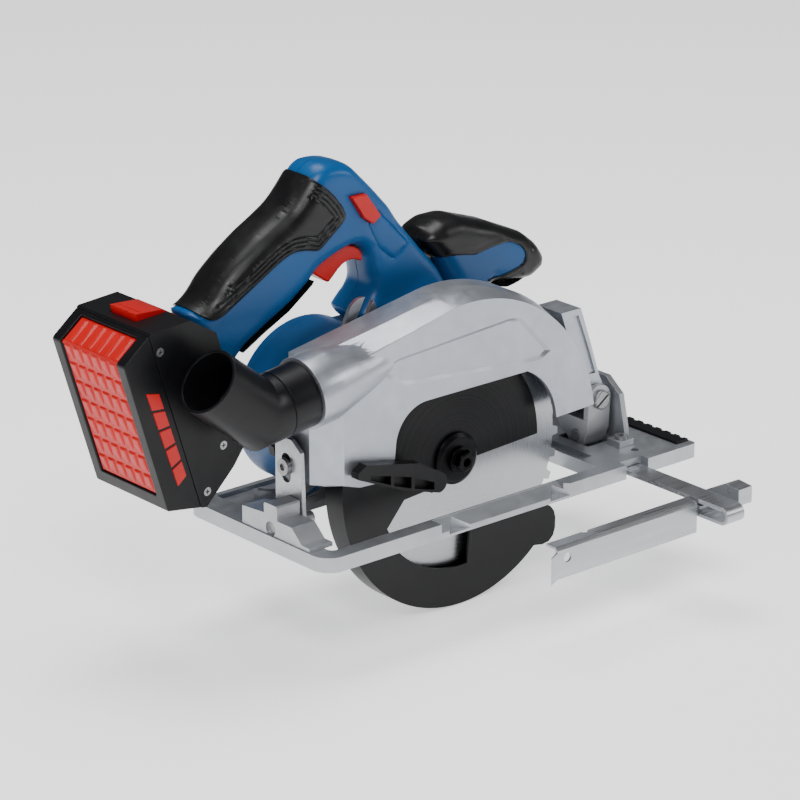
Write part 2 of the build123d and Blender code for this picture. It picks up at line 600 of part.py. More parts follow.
LEVER_Y = (-43.5, -37.0)
with BuildPart() as guard_lever:
    with BuildSketch(side(LEVER_Y[1])):
        with BuildLine():
            Polyline((-104, 41), (-104, 45), (-98, 48.5), (-58, 40), (-40, 29.5))
            ThreePointArc((-40, 29.5), (-37.5, 22), (-43, 18))
            Polyline((-43, 18), (-70, 26), (-104, 41))
        make_face()
    extrude(amount=LEVER_Y[1] - LEVER_Y[0])
    # pockets that lighten the finger plate
    with BuildSketch(side(LEVER_Y[0] + 4.5)):
        Polygon((-47, 20.8), (-47, 25.5), (-62, 32.2), (-62, 25.2), align=None)
        Polygon((-64.5, 26), (-64.5, 33), (-77.5, 37), (-77.5, 30.8), align=None)
        Polygon((-80, 32), (-80, 37.5), (-95, 41.5), (-95, 38.6), align=None)
    extrude(amount=6, mode=Mode.SUBTRACT)
    # post through the sight window to the lower guard
    with BuildSketch(side(SHROUD_NEAR)):
        with Locations(Location((-45.5, 20.5, 0), -28)):
            Rectangle(9, 6)
    extrude(amount=SHROUD_NEAR - LEVER_Y[1])
guard_lever.part.label = "guard_lever"
export_step(guard_lever.part, "parts/guard_lever.step")

with BuildPart() as guard_spring:
    for turn in range(3):
        with BuildSketch(Plane(origin=(SPIN_X, 0, SPIN_Z), x_dir=(1, 0, 0), z_dir=(0, 0, 1))):
            with Locations((19.6, -10.4 + turn * 1.6)):
                Circle(0.7)
        revolve(axis=Axis((SPIN_X, 0, SPIN_Z), (0, 1, 0)))
    with BuildSketch(side(-7.0)):
        with Locations((SPIN_X, SPIN_Z + 19.6)):
            Rectangle(1.2, 1.2)
    extrude(amount=3.4)
guard_spring.part.label = "guard_spring"
export_step(guard_spring.part, "parts/guard_spring.step")

with BuildPart() as dust_collar:
    with BuildSketch(port_plane(0.2)):
        Circle(19.6)
        Circle(ELBOW_BORE_R, mode=Mode.SUBTRACT)
    extrude(amount=COLLAR_LENGTH - 0.5)
    with BuildSketch(port_plane(0.2)):
        Circle(18.3)
        Circle(ELBOW_BORE_R, mode=Mode.SUBTRACT)
    extrude(amount=-14)
dust_collar.part.label = "dust_collar"
export_step(dust_collar.part, "parts/dust_collar.step")

with BuildPart() as dust_elbow:
    with BuildSketch(port_plane(COLLAR_LENGTH)):
        Circle(ELBOW_R)
    extrude(amount=40)
    split(bisect_by=Plane(origin=BEND_POS, z_dir=(MOUTH_DIR + PORT_DIR).normalized()), keep=Keep.BOTTOM)
    with BuildSketch(Plane(origin=BEND_POS + MOUTH_DIR * ELBOW_LEG, x_dir=(0, 1, 0), z_dir=-MOUTH_DIR)):
        Circle(ELBOW_R)
    leg = extrude(amount=ELBOW_LEG + 30, mode=Mode.PRIVATE)
    cut_leg = split(leg, bisect_by=Plane(origin=BEND_POS, z_dir=(MOUTH_DIR + PORT_DIR).normalized()),
                    keep=Keep.TOP, mode=Mode.PRIVATE)
    add(cut_leg)
    with BuildSketch(port_plane(COLLAR_LENGTH - 1)):
        Circle(ELBOW_BORE_R)
    first = extrude(amount=60, mode=Mode.PRIVATE)
    first_cut = split(first, bisect_by=Plane(origin=BEND_POS, z_dir=(MOUTH_DIR + PORT_DIR).normalized()),
                      keep=Keep.BOTTOM, mode=Mode.PRIVATE)
    add(first_cut, mode=Mode.SUBTRACT)
    with BuildSketch(Plane(origin=BEND_POS + MOUTH_DIR * (ELBOW_LEG + 1), x_dir=(0, 1, 0), z_dir=-MOUTH_DIR)):
        Circle(ELBOW_BORE_R)
    second = extrude(amount=ELBOW_LEG + 40, mode=Mode.PRIVATE)
    second_cut = split(second, bisect_by=Plane(origin=BEND_POS, z_dir=(MOUTH_DIR + PORT_DIR).normalized()),
                       keep=Keep.TOP, mode=Mode.PRIVATE)
    add(second_cut, mode=Mode.SUBTRACT)
    # the hose seats in the mouth against a shoulder
    with BuildSketch(Plane(origin=BEND_POS + MOUTH_DIR * ELBOW_LEG, x_dir=(0, 1, 0), z_dir=-MOUTH_DIR)):
        Circle(SOCKET_R)
    extrude(amount=SOCKET_DEPTH, mode=Mode.SUBTRACT)
dust_elbow.part.label = "dust_elbow"
export_step(dust_elbow.part, "parts/dust_elbow.step")

# ================================================================ blade, spindle and gears
with BuildPart() as blade:
    with BuildSketch(side(BLADE_Y + BLADE_T / 2)):
        with Locations(SPINDLE):
            Circle(BLADE_R - 4)
            with PolarLocations(BLADE_R - 5, TEETH):
                Polygon((-2, -5.2), (5, -4.6), (5, -0.2), (1.5, 1.2), (-2, 3.4), align=None)
            with PolarLocations(BLADE_R - 12, 4, start_angle=40):
                Circle(2.2, mode=Mode.SUBTRACT)
            Circle(BLADE_BORE_R, mode=Mode.SUBTRACT)
    extrude(amount=BLADE_T)
blade.part.label = "blade"
export_step(blade.part, "parts/blade.step")

with BuildPart() as inner_flange:
    with BuildSketch(side(-15)):
        with Locations(SPINDLE):
            Circle(16)
    extrude(amount=-15 - (BLADE_Y + BLADE_T / 2))
    with BuildSketch(side(BLADE_Y + BLADE_T / 2)):
        with Locations(SPINDLE):
            Circle(BLADE_BORE_R - 0.02)
    extrude(amount=BLADE_T - 0.2)
    with BuildSketch(side(-10)):
        with Locations(SPINDLE):
            Circle(6)
    extrude(amount=30, mode=Mode.SUBTRACT)
inner_flange.part.label = "inner_flange"
export_step(inner_flange.part, "parts/inner_flange.step")

with BuildPart() as outer_flange:
    with BuildSketch(side(BLADE_Y - BLADE_T / 2)):
        with Locations(SPINDLE):
            Circle(16)
    extrude(amount=2)
    with BuildSketch(side(BLADE_Y - BLADE_T / 2 - 2)):
        with Locations(SPINDLE):
            Circle(16)
    extrude(amount=1.8, taper=55)
    with BuildSketch(side(BLADE_Y - BLADE_T / 2)):
        with Locations(SPINDLE):
            Circle(4.1)
    extrude(amount=10, mode=Mode.SUBTRACT)
outer_flange.part.label = "outer_flange"
export_step(outer_flange.part, "parts/outer_flange.step")

FLANGE_FACE = BLADE_Y - BLADE_T / 2 - 3.8
with BuildPart() as blade_bolt:
    with BuildSketch(side(-12)):
        with Locations(SPINDLE):
            Circle(4)
    extrude(amount=-12 - FLANGE_FACE)
    with BuildSketch(side(FLANGE_FACE)):
        with Locations(SPINDLE):
            Circle(8)
    extrude(amount=2.4)
    with BuildSketch(side(FLANGE_FACE - 2.4)):
        with Locations(Location((SPIN_X, SPIN_Z, 0), 12)):
            RegularPolygon(6.4, 6)
    extrude(amount=5)
    chamfer(blade_bolt.edges().group_by(Axis.Y)[0], 0.7)
    with BuildSketch(side(FLANGE_FACE - 7)):
        with Locations(SPINDLE):
            RegularPolygon(3.0, 6)
    extrude(amount=4, both=True, mode=Mode.SUBTRACT)
blade_bolt.part.label = "blade_bolt"
export_step(blade_bolt.part, "parts/blade_bolt.step")

with BuildPart() as spindle:
    with BuildSketch(side(GEARBOX_Y[1] - 2)):
        with Locations(SPINDLE):
            Circle(6)
    extrude(amount=GEARBOX_Y[1] - 2 + 20.4)
    with BuildSketch(side(-12)):
        with Locations(SPINDLE):
            Circle(4)
    extrude(amount=12, mode=Mode.SUBTRACT)
    with BuildSketch(side(-14)):
        with Locations(SPINDLE):
            Circle(7.5)
            Circle(6, mode=Mode.SUBTRACT)
    extrude(amount=0.95)
spindle.part.label = "spindle"
export_step(spindle.part, "parts/spindle.step")


def tooth_flank(pitch_r, teeth, root, tip):
    """Half-angles of a tooth at its root, pitch and tip circles, in degrees."""
    quarter = 90 / teeth
    return (root, quarter * 1.45), (pitch_r, quarter * 0.94), (tip, quarter * 0.45)


def gear_profile(centre, pitch_r, teeth, phase, bore):
    """Straight-flanked gear teeth round a centre, with a bore."""
    root, tip = pitch_r - 1.2 * MODULE, pitch_r + 0.9 * MODULE
    points = []
    for i in range(teeth):
        middle = phase + 360 * i / teeth
        flank = tooth_flank(pitch_r, teeth, root, tip)
        points += [polar(centre, r, middle - half) for r, half in flank]
        points += [polar(centre, r, middle + half) for r, half in reversed(flank)]
    with BuildLine() as outline:
        Polyline(*points, close=True)
    make_face(outline.edges())
    with Locations(centre):
        Circle(bore, mode=Mode.SUBTRACT)


GEAR_Y = (3.0, 11.0)
with BuildPart() as drive_gear:
    with BuildSketch(side(GEAR_Y[1])):
        gear_profile(SPINDLE, GEAR_R, GEAR_TEETH, GEAR_ANGLE, 6)
    extrude(amount=GEAR_Y[1] - GEAR_Y[0])
drive_gear.part.label = "drive_gear"
export_step(drive_gear.part, "parts/drive_gear.step")

SHAFT_END = 46.5
with BuildPart() as motor_shaft:
    with BuildSketch(side(GEAR_Y[1] + 0.5)):
        gear_profile(MOTOR, PINION_R, PINION_TEETH, GEAR_ANGLE + 180 + 180 / PINION_TEETH, 0.6)
    extrude(amount=GEAR_Y[1] - GEAR_Y[0] + 1)
    with BuildSketch(side(SHAFT_END)):
        with Locations(MOTOR):
            Circle(4)
    extrude(amount=SHAFT_END - GEAR_Y[1] - 0.5)
motor_shaft.part.label = "motor_shaft"
export_step(motor_shaft.part, "parts/motor_shaft.step")


def ring(centre, outer, inner, near, far):
    """Plain ring about an axis along Y, from the near face to the far face."""
    with BuildSketch(side(far)) as profile:
        with Locations(centre):
            Circle(outer)
            Circle(inner, mode=Mode.SUBTRACT)
    extrude(profile.sketch, amount=far - near)


ROTOR_Y = (24.0, 38.0)
with BuildPart() as motor_rotor:
    ring(MOTOR, 15.5, 4, *ROTOR_Y)
motor_rotor.part.label = "motor_rotor"
export_step(motor_rotor.part, "parts/motor_rotor.step")

with BuildPart() as cooling_fan:
    ring(MOTOR, 7, 4, 39.0, 43.5)
    with BuildSketch(side(41)):
        with Locations(MOTOR):
            Circle(24)
            Circle(7, mode=Mode.SUBTRACT)
    extrude(amount=1)
    with BuildSketch(side(43.5)):
        with Locations(MOTOR):
            with PolarLocations(15, 11):
                Rectangle(15, 1.2)
    extrude(amount=3.5)
cooling_fan.part.label = "cooling_fan"
export_step(cooling_fan.part, "parts/cooling_fan.step")

with BuildPart() as motor_stator:
    with BuildSketch(side(ROTOR_Y[1])):
        with Locations(MOTOR):
            Circle(27)
            Circle(23.5, mode=Mode.SUBTRACT)
            with PolarLocations(20, 9):
                Rectangle(8, 5)
            with PolarLocations(16.6, 9):
                Rectangle(1.6, 9)
            Circle(16, mode=Mode.SUBTRACT)
    extrude(amount=ROTOR_Y[1] - ROTOR_Y[0])
motor_stator.part.label = "motor_stator"
export_step(motor_stator.part, "parts/motor_stator.step")

with BuildPart() as spindle_bearings:
    ring(SPINDLE, 12, 6, -12, -4)
    ring(SPINDLE, 9, 6, 11.2, 13)
spindle_bearings.part.label = "spindle_bearings"
export_step(spindle_bearings.part, "parts/spindle_bearings.step")

with BuildPart() as motor_bearings:
    ring(MOTOR, 9, 4 + RUN, 16, 21)
    ring(MOTOR, 8, 4 + RUN, 43.6, 46.8)
motor_bearings.part.label = "motor_bearings"
export_step(motor_bearings.part, "parts/motor_bearings.step")

# ================================================================ gear case and motor casing
LOCK_FROM_MOTOR = Vector(-0.2936, 0, 0.956)        # direction of the spindle lock's plunger
PLUNGER_Y = 9.3
with BuildPart() as gear_case:
    with BuildSketch(side(GEARBOX_Y[1])):
        with Locations(SPINDLE):
            Circle(GEAR_R + 4.4)
        with Locations(MOTOR):
            Circle(16)
        Polygon((-50, 30), (-46, 98), (-20, 112), (20, 116), (40, 108), (58, 90), (66, 66), (48, 46),
                (14, 22), align=None)
    extrude(amount=GEARBOX_Y[1] - 2.2)
    with BuildSketch(side(2.2)):
        with Locations(SPINDLE):
            Circle(GEAR_R + 4.4)
        Polygon((-40, 40), (-40, 80), (30, 80), (42, 60), (20, 30), align=None)
    extrude(amount=2.2 - GEARBOX_Y[0])
    with BuildSketch(side(GEARBOX_Y[0])):
        with Locations(SPINDLE):
            Circle(15)
    extrude(amount=11)
    # boss of the spindle lock
    with BuildSketch(side(GEARBOX_Y[1])):
        with Locations((-53, 99)):
            Circle(10)
    extrude(amount=GEARBOX_Y[1] - 3.5)
    # gear chamber, bearing seats and shaft holes
    with BuildSketch(side(GEAR_Y[1] + 1)):
        with Locations(SPINDLE):
            Circle(GEAR_R + 1.6)
        with Locations(MOTOR):
            Circle(PINION_R + 2.2)
    extrude(amount=GEAR_Y[1] - GEAR_Y[0] + 2, mode=Mode.SUBTRACT)
    for centre, radius, near, far in ((SPINDLE, 12, -12, -3.9), (SPINDLE, 7.8, -16, 12),
                                      (SPINDLE, 9, 11, 13), (MOTOR, 4.6, 10, 20)):
        with BuildSketch(side(far)):
            with Locations(centre):
                Circle(radius)
        extrude(amount=far - near, mode=Mode.SUBTRACT)
    # bore of the lock's plunger, and the pocket round its cap
    lock_plane = Plane(origin=(MOTOR_X, PLUNGER_Y, MOTOR_Z), x_dir=(0, 1, 0), z_dir=LOCK_FROM_MOTOR)
    with BuildSketch(lock_plane):
        Circle(2.2)
    extrude(amount=90, mode=Mode.SUBTRACT)
    with BuildSketch(lock_plane.offset(58)):
        Rectangle(11.6, 13)
    extrude(amount=30, mode=Mode.SUBTRACT)
    with BuildSketch(side(GEARBOX_Y[1] + 1)):
        with Locations(*GUARD_SCREWS):
            Circle(2.2)
    extrude(amount=20, mode=Mode.SUBTRACT)
gear_case.part.label = "gear_case"
export_step(gear_case.part, "parts/gear_case.step")

with BuildPart() as spindle_lock_button:
    with BuildSketch(lock_plane.offset(9)):
        Circle(2.0)
    extrude(amount=54)
    with BuildSketch(lock_plane.offset(62)):
        Rectangle(11, 12.4)
    extrude(amount=9)
    fillet(spindle_lock_button.faces().sort_by(Axis.Z)[-1].edges(), 0.8)
spindle_lock_button.part.label = "spindle_lock_button"
export_step(spindle_lock_button.part, "parts/spindle_lock_button.step")

with BuildPart() as hinge_arm:
    # block in front of the guard, down to the depth pivot
    with BuildSketch(side(-3.3)):
        with Locations(PIVOT):
            Circle(8)
        Polygon((74, 96), (90, 96), (99, 71), (106, 50), (110, 42), (110, 34), (96, 32), (92, 44), (82, 74),
                align=None)
    extrude(amount=16.4)
    # lap behind the guard, on to the gear case
    with BuildSketch(side(1.9)):
        Polygon((48, 62), (50, 84), (58, 94), (74, 96), (90, 96), (96, 80), (88, 64), (60, 54), align=None)
    extrude(amount=4.6)
    with BuildSketch(side(1.9)):
        Polygon((78, 96), (90, 96), (99, 71), (102, 62), (92, 60), (82, 74), align=None)
    extrude(amount=10)
    with BuildSketch(side(-3.0)):
        with Locations(SPINDLE):
            Circle(GUARD_R + 0.6)
    extrude(amount=40, mode=Mode.SUBTRACT)
    with BuildSketch(side(0)):
        with Locations(PIVOT):
            Circle(3.95 + RUN)
    extrude(amount=60, mode=Mode.SUBTRACT)
    # channel in the near face
    with BuildSketch(side(-18.2)):
        Polygon((83, 92), (88, 92), (97, 69), (103, 52), (98, 52), (88, 76), align=None)
    extrude(amount=3, mode=Mode.SUBTRACT)
    with BuildSketch(side(8)):
        with Locations(ARM_SCREW):
            Circle(2.2)
    extrude(amount=20, mode=Mode.SUBTRACT)
hinge_arm.part.label = "hinge_arm"
export_step(hinge_arm.part, "parts/hinge_arm.step")

with BuildPart() as guard_screws:
    for x, z in GUARD_SCREWS:
        with BuildSketch(side(12)):
            with Locations((x, z)):
                Circle(2.1)
        extrude(amount=18)
        with BuildSketch(side(GUARD_FAR - GUARD_WALL)):
            with Locations((x, z)):
                Circle(3.8)
        extrude(amount=1.8)
guard_screws.part.label = "guard_screws"
export_step(guard_screws.part, "parts/guard_screws.step")

CASING = (CASE_X, CASE_Z)
MOTOR_WALL = 3.0
DEPTH_BOLT = polar(PIVOT, DEPTH_R, 180 - DEPTH_REST)


def casing_profile(inset, saddle):
    """Side view of the motor casing, drawn this far inside its outline."""
    with Locations(CASING):
        Circle(CASE_R - inset)
    with Locations(MOTOR):
        Circle(33 - inset)
    Polygon((-84, 12 + inset), (-92 + inset, 60), (-60, 102 - inset), (-20, 66), (-20 - inset, 20),
            (-50, 8.5 + inset), align=None)
    if saddle:
        Polygon((-70, 60), (-56, 103.8 - inset), (17 - inset, 103.8 - inset), (24 - inset, 90),
                (4, 62), align=None)


with BuildPart() as motor_housing:
    with BuildSketch(side(MOTOR_Y[1])):
        casing_profile(0, True)
    extrude(amount=MOTOR_Y[1] - MOTOR_Y[0])
    with BuildSketch(side(MOTOR_Y[1] + 1)):
        casing_profile(MOTOR_WALL, True)
        with Locations(MOTOR):
            Circle(30.5, mode=Mode.SUBTRACT)
            Circle(27.1)
    extrude(amount=MOTOR_Y[1] + 1 - MOTOR_Y[0] - MOTOR_WALL, mode=Mode.SUBTRACT)
    with BuildSketch(side(22)):
        with Locations(MOTOR):
            Circle(11)
        with Locations(DEPTH_BOLT):
            Circle(6)
    extrude(amount=22 - MOTOR_Y[0])
    with BuildSketch(side(MOTOR_Y[0])):
        with Locations(DEPTH_BOLT):
            Circle(7)
    extrude(amount=3)
    with BuildSketch(side(21)):
        with Locations(MOTOR):
            Circle(9)
    extrude(amount=5, mode=Mode.SUBTRACT)
    with BuildSketch(side(30)):
        with Locations(MOTOR):
            Circle(7)
        with Locations(DEPTH_BOLT):
            Circle(3.0)
    extrude(amount=40, mode=Mode.SUBTRACT)
    for x, z in CAP_SCREWS:
        with BuildSketch(side(MOTOR_Y[1])):
            with Locations((x, z)):
                Circle(4)
        extrude(amount=MOTOR_Y[1] - MOTOR_Y[0] - 1)
        with BuildSketch(side(MOTOR_Y[1] + 1)):
            with Locations((x, z)):
                Circle(2.0)
        extrude(amount=20, mode=Mode.SUBTRACT)
motor_housing.part.label = "motor_housing"
export_step(motor_housing.part, "parts/motor_housing.step")

with BuildPart() as motor_end_cap:
    with BuildSketch(side(CAP_Y[1])):
        casing_profile(0, False)
    extrude(amount=CAP_Y[1] - CAP_Y[0])
    with BuildSketch(side(CAP_Y[1] - 2.5)):
        casing_profile(MOTOR_WALL, False)
    extrude(amount=CAP_Y[1] - CAP_Y[0] - 2.5, mode=Mode.SUBTRACT)
    with BuildSketch(side(CAP_Y[1] - 2)):
        with Locations(MOTOR):
            Circle(11)
            Circle(8, mode=Mode.SUBTRACT)
    extrude(amount=CAP_Y[1] - 2 - 43.8)
    for x, z in CAP_SCREWS:
        with BuildSketch(side(CAP_Y[1])):
            with Locations((x, z)):
                Circle(4)
        extrude(amount=CAP_Y[1] - CAP_Y[0])
        with BuildSketch(side(CAP_Y[1] + 1)):
            with Locations((x, z)):
                Circle(2.2)
        extrude(amount=20, mode=Mode.SUBTRACT)
        with BuildSketch(side(CAP_Y[1] + 1)):
            with Locations((x, z)):
                Circle(3.6)
        extrude(amount=3.4, mode=Mode.SUBTRACT)
    # cooling vents
    with BuildSketch(side(CAP_Y[1] + 1)):
        with Locations(*[(-92 + 8 * i, 70) for i in range(5)]):
            SlotOverall(30, 3.4, rotation=90)
        with Locations(*[(-46 + 8 * i, 26) for i in range(4)]):
            SlotOverall(17, 3, rotation=90)
    extrude(amount=6, mode=Mode.SUBTRACT)
motor_end_cap.part.label = "motor_end_cap"
export_step(motor_end_cap.part, "parts/motor_end_cap.step")

with BuildPart() as housing_screws:
    for x, z in CAP_SCREWS:
        with BuildSketch(side(CAP_Y[1] - 0.2)):
            with Locations((x, z)):
                Circle(3.5)
        extrude(amount=2.2)
        with BuildSketch(side(CAP_Y[1] - 2)):
            with Locations((x, z)):
                Circle(1.9)
        extrude(amount=16)
        with BuildSketch(side(CAP_Y[1])):
            with Locations((x, z)):
                Rectangle(4, 0.9)
                Rectangle(0.9, 4)
        extrude(amount=1.4, mode=Mode.SUBTRACT)
housing_screws.part.label = "housing_screws"
export_step(housing_screws.part, "parts/housing_screws.step")

# ================================================================ depth bolt and lever
with BuildPart() as depth_bolt:
    with BuildSketch(side(20)):
        with Locations(DEPTH_BOLT):
            Circle(2.95)
    extrude(amount=20.3)
    with BuildSketch(side(-0.1)):
        with Locations(DEPTH_BOLT):
            Circle(6)
    extrude(amount=2.5)
depth_bolt.part.label = "depth_bolt"
export_step(depth_bolt.part, "parts/depth_bolt.step")

with BuildPart() as depth_lever:
    with BuildSketch(side(11.6)):
        with Locations(DEPTH_BOLT):
            Circle(8)
    extrude(amount=8.4)
    with BuildSketch(side(10)):
        Polygon((-88, 35), (-84, 50.4), (-122, 56), (-127, 53), (-126, 47), (-120, 45), align=None)
    extrude(amount=5)
    with BuildSketch(side(20)):
        with Locations(DEPTH_BOLT):
            Circle(3.1)
    extrude(amount=30, mode=Mode.SUBTRACT)
depth_lever.part.label = "depth_lever"
export_step(depth_lever.part, "parts/depth_lever.step")

# ================================================================ handle
SHELL_Y = (16.0, 32.0, 48.0)           # near face, split line and far face
SHELL_WALL = 2.6
PACK_AXIS = Vector(-sin(radians(BATTERY_TILT)), 0, cos(radians(BATTERY_TILT)))     # pack slides off
PACK_FACE = -125.0                     # the pack's front face, along its own normal
TONGUE_Y = (18.0, 46.0)
GRIP_TOP = ((-168, 138), (-159, 144), (-152, 153), (-139, 163.6), (-124, 173.6), (-111, 180.6),
            (-101, 186.6), (-94, 193.6), (-88, 200.6), (-84.4, 205))
GRIP_BOTTOM = ((-84, 140.6), (-101, 128.4), (-121.6, 118.2), (-135.4, 110.4))
FRONT_EDGE = ((-78, 209), (-65, 208), (-55, 204), (-48, 197), (-38, 187), (-26, 174), (-21, 166), (-2, 144),
              (11, 130), (20, 114), (20, 104.3))


def pack_point(across_pack, along):
    """Point in the side view, this far along the pack's normal and up its slide direction."""
    tilt = radians(BATTERY_TILT)
    return (across_pack * cos(tilt) - along * sin(tilt), across_pack * sin(tilt) + along * cos(tilt))


FOOT = (pack_point(PACK_FACE + 0.4, 184.5), pack_point(PACK_FACE + 0.4, 140.0))


def pack_box(low, high, bottom, top):
    """Rectangle in the side view, square to the pack."""
    Polygon(pack_point(low, bottom), pack_point(low, top), pack_point(high, top), pack_point(high, bottom),
            align=None)


def shell_outline():
    """Side view of the blue handle housing under its rubber."""
    Polygon(*reversed(GRIP_BOTTOM), (-82.5, 144.4), (-75, 148.6), (-64, 153), (-55.5, 155.4), (-49.5, 153.8),
            (-45.5, 150), (-44, 145), (-42, 137), (-40, 128),
            (-46, 121), (-54.5, 113), (-50, 107), (-46, 104.3), *reversed(FRONT_EDGE),
            *reversed(GRIP_TOP), FOOT[0], FOOT[1], (-147, 98), align=None)


LOCK_OFF = ((-61, 187), (-50, 187), (-39, 172), (-45, 168), (-52, 173))
HANDLE_SCREWS = ((-150, 128), (-96, 152), (-66, 196), (-34, 138), (4, 112), (-34, 112))
SCREW_Y = (20.0, 46.0)                 # tip, and seat of the head


def handle_shell(near, far, outer_near, outer_far):
    """One half of the handle housing, from its split line out to its face."""
    with BuildSketch(side(far)) as outline:
        shell_outline()
    extrude(outline.sketch, amount=far - near)
    # half of the tongue that the pack slides down over
    with BuildSketch(side(min(far, TONGUE_Y[1]))) as tongue:
        pack_box(PACK_FACE - 7.6, PACK_FACE + 0.6, 142, 173.6)
    extrude(tongue.sketch, amount=HANDLE_Y - TONGUE_Y[0])
    with BuildSketch(side(outer_far)) as hollow:
        shell_outline()
        offset(amount=-SHELL_WALL, kind=Kind.INTERSECTION, mode=Mode.REPLACE)
        with Locations(*HANDLE_SCREWS):
            Circle(3.6, mode=Mode.SUBTRACT)
    extrude(hollow.sketch, amount=outer_far - outer_near, mode=Mode.SUBTRACT)
    # openings for the trigger and the lock-off, and the screw holes
    with BuildSketch(Plane.XY.offset(138)) as trigger_slot:
        with Locations((-66.5, HANDLE_Y)):
            Rectangle(46, 21)
    extrude(trigger_slot.sketch, amount=22, mode=Mode.SUBTRACT)
    with BuildSketch(side(outer_far + 20)) as button_hole:
        Polygon(*LOCK_OFF, align=None)
        offset(amount=GAP, mode=Mode.REPLACE)
    extrude(button_hole.sketch, amount=60, mode=Mode.SUBTRACT)
    with BuildSketch(side(SCREW_Y[1] + 5)) as screw_holes:
        with Locations(*HANDLE_SCREWS):
            Circle(1.6)
    extrude(screw_holes.sketch, amount=SCREW_Y[1] + 5 - SCREW_Y[0] + 0.6, mode=Mode.SUBTRACT)


with BuildPart() as handle_shell_right:
    handle_shell(SHELL_Y[0], SHELL_Y[1], SHELL_Y[0] + SHELL_WALL, SHELL_Y[1])
    fillet(handle_shell_right.edges().group_by(Axis.Y)[0].filter_by(GeomType.LINE).group_by(SortBy.LENGTH)[-1],
           0.6)
    with BuildSketch(side(SHELL_Y[0] + 0.5)):
        Polygon((-44, 166), (-19, 151), (-30, 146), (-37, 152), align=None)
    extrude(amount=2, mode=Mode.SUBTRACT)
handle_shell_right.part.label = "handle_shell_right"
export_step(handle_shell_right.part, "parts/handle_shell_right.step")

with BuildPart() as handle_shell_left:
    handle_shell(SHELL_Y[1], SHELL_Y[2], SHELL_Y[1], SHELL_Y[2] - SHELL_WALL)
    with BuildSketch(side(SHELL_Y[2] + 1)):
        with Locations(*HANDLE_SCREWS):
            Circle(3.2)
    extrude(amount=SHELL_Y[2] + 1 - SCREW_Y[1], mode=Mode.SUBTRACT)
handle_shell_left.part.label = "handle_shell_left"
export_step(handle_shell_left.part, "parts/handle_shell_left.step")

with BuildPart() as handle_screws:
    for x, z in HANDLE_SCREWS:
        with BuildSketch(side(SCREW_Y[1] + 1.8)):
            with Locations((x, z)):
                Circle(3.1)
        extrude(amount=1.8)
        with BuildSketch(side(SCREW_Y[1])):
            with Locations((x, z)):
                Circle(1.55)
        extrude(amount=SCREW_Y[1] - SCREW_Y[0])
        with BuildSketch(side(SCREW_Y[1] + 2)):
            with Locations((x, z)):
                Rectangle(3.4, 0.8)
                Rectangle(0.8, 3.4)
        extrude(amount=1.4, mode=Mode.SUBTRACT)
handle_screws.part.label = "handle_screws"
export_step(handle_screws.part, "parts/handle_screws.step")

GRIP_SIDE = ((-88, 204), (-73, 191), (-63, 176), (-84, 159), (-103, 162), (-155, 134), (-166, 136),
             (-170.5, 140.5))
with BuildPart() as rear_grip:
    # saddle over the top of the grip
    with BuildSketch(side(HANDLE_Y + GRIP_HALF)):
        Polygon((-170.2, 141.4), (-160, 147), (-153, 156), (-140, 166.6), (-125, 176.6), (-112, 183.6),
                (-102, 189.6), (-95, 196.6), (-89, 203.6), (-86, 208.5), (-82, 208.6),
                *[(x - 0.1, z + 0.15) for x, z in reversed(GRIP_TOP)], align=None)
    extrude(amount=2 * GRIP_HALF)
    for far in (HANDLE_Y + GRIP_HALF, SHELL_Y[0]):
        with BuildSketch(side(far)):
            Polygon((-171, 141), (-160, 147), (-153, 156), (-140, 166.6), (-125, 176.6), (-112, 183.6),
                    (-102, 189.6), (-95, 196.6), (-89, 203.6), *GRIP_SIDE, align=None)
        extrude(amount=RUBBER)
rear_grip.part.label = "rear_grip"
export_step(rear_grip.part, "parts/rear_grip.step")

with BuildPart() as grip_underside:
    with BuildSketch(side(HANDLE_Y + 13)):
        Polygon((-86, 138), (-103, 126), (-123, 116), (-137, 108.2), (-135.6, 110.1),
                (-121.5, 118), (-100.9, 128.2), (-84, 140.4), align=None)
    extrude(amount=26)
grip_underside.part.label = "grip_underside"
export_step(grip_underside.part, "parts/grip_underside.step")

with BuildPart() as trigger:
    with BuildSketch(side(HANDLE_Y + 10)):
        Polygon((-84.2, 146), (-83, 143.8), (-71.2, 135.6), (-67.7, 138.7), (-63.8, 142.3), (-60.5, 144.6),
                (-57, 145.9), (-52.3, 146.1), (-46, 143.6), (-45.4, 147), (-47, 150.6), (-51.5, 154),
                (-58, 156), (-72, 155), (-80, 150.5), align=None)
    extrude(amount=20)
trigger.part.label = "trigger"
export_step(trigger.part, "parts/trigger.step")

with BuildPart() as switch_block:
    with BuildSketch(side(HANDLE_Y + 8)):
        Polygon((-92, 166), (-76, 180), (-62, 170), (-73, 161), (-84, 157), align=None)
    extrude(amount=16)
switch_block.part.label = "switch_block"
export_step(switch_block.part, "parts/switch_block.step")

with BuildPart() as lock_off_button:
    with BuildSketch(side(HANDLE_Y + GRIP_HALF - 1)):
        Polygon(*LOCK_OFF, align=None)
    extrude(amount=2 * GRIP_HALF)
    fillet(lock_off_button.edges().group_by(Axis.Y)[0], 1)
lock_off_button.part.label = "lock_off_button"
export_step(lock_off_button.part, "parts/lock_off_button.step")

with BuildPart() as control_board:
    with BuildSketch(side(HANDLE_Y + 1)):
        Polygon((-28, 108), (-4, 108), (-4, 134), (-28, 152), align=None)
    extrude(amount=1.6)
    with BuildSketch(side(HANDLE_Y - 0.6)):
        with Locations((-20, 118), (-10, 118), (-20, 132), (-10, 130)):
            Rectangle(7, 9)
    extrude(amount=6)
control_board.part.label = "control_board"
export_step(control_board.part, "parts/control_board.step")

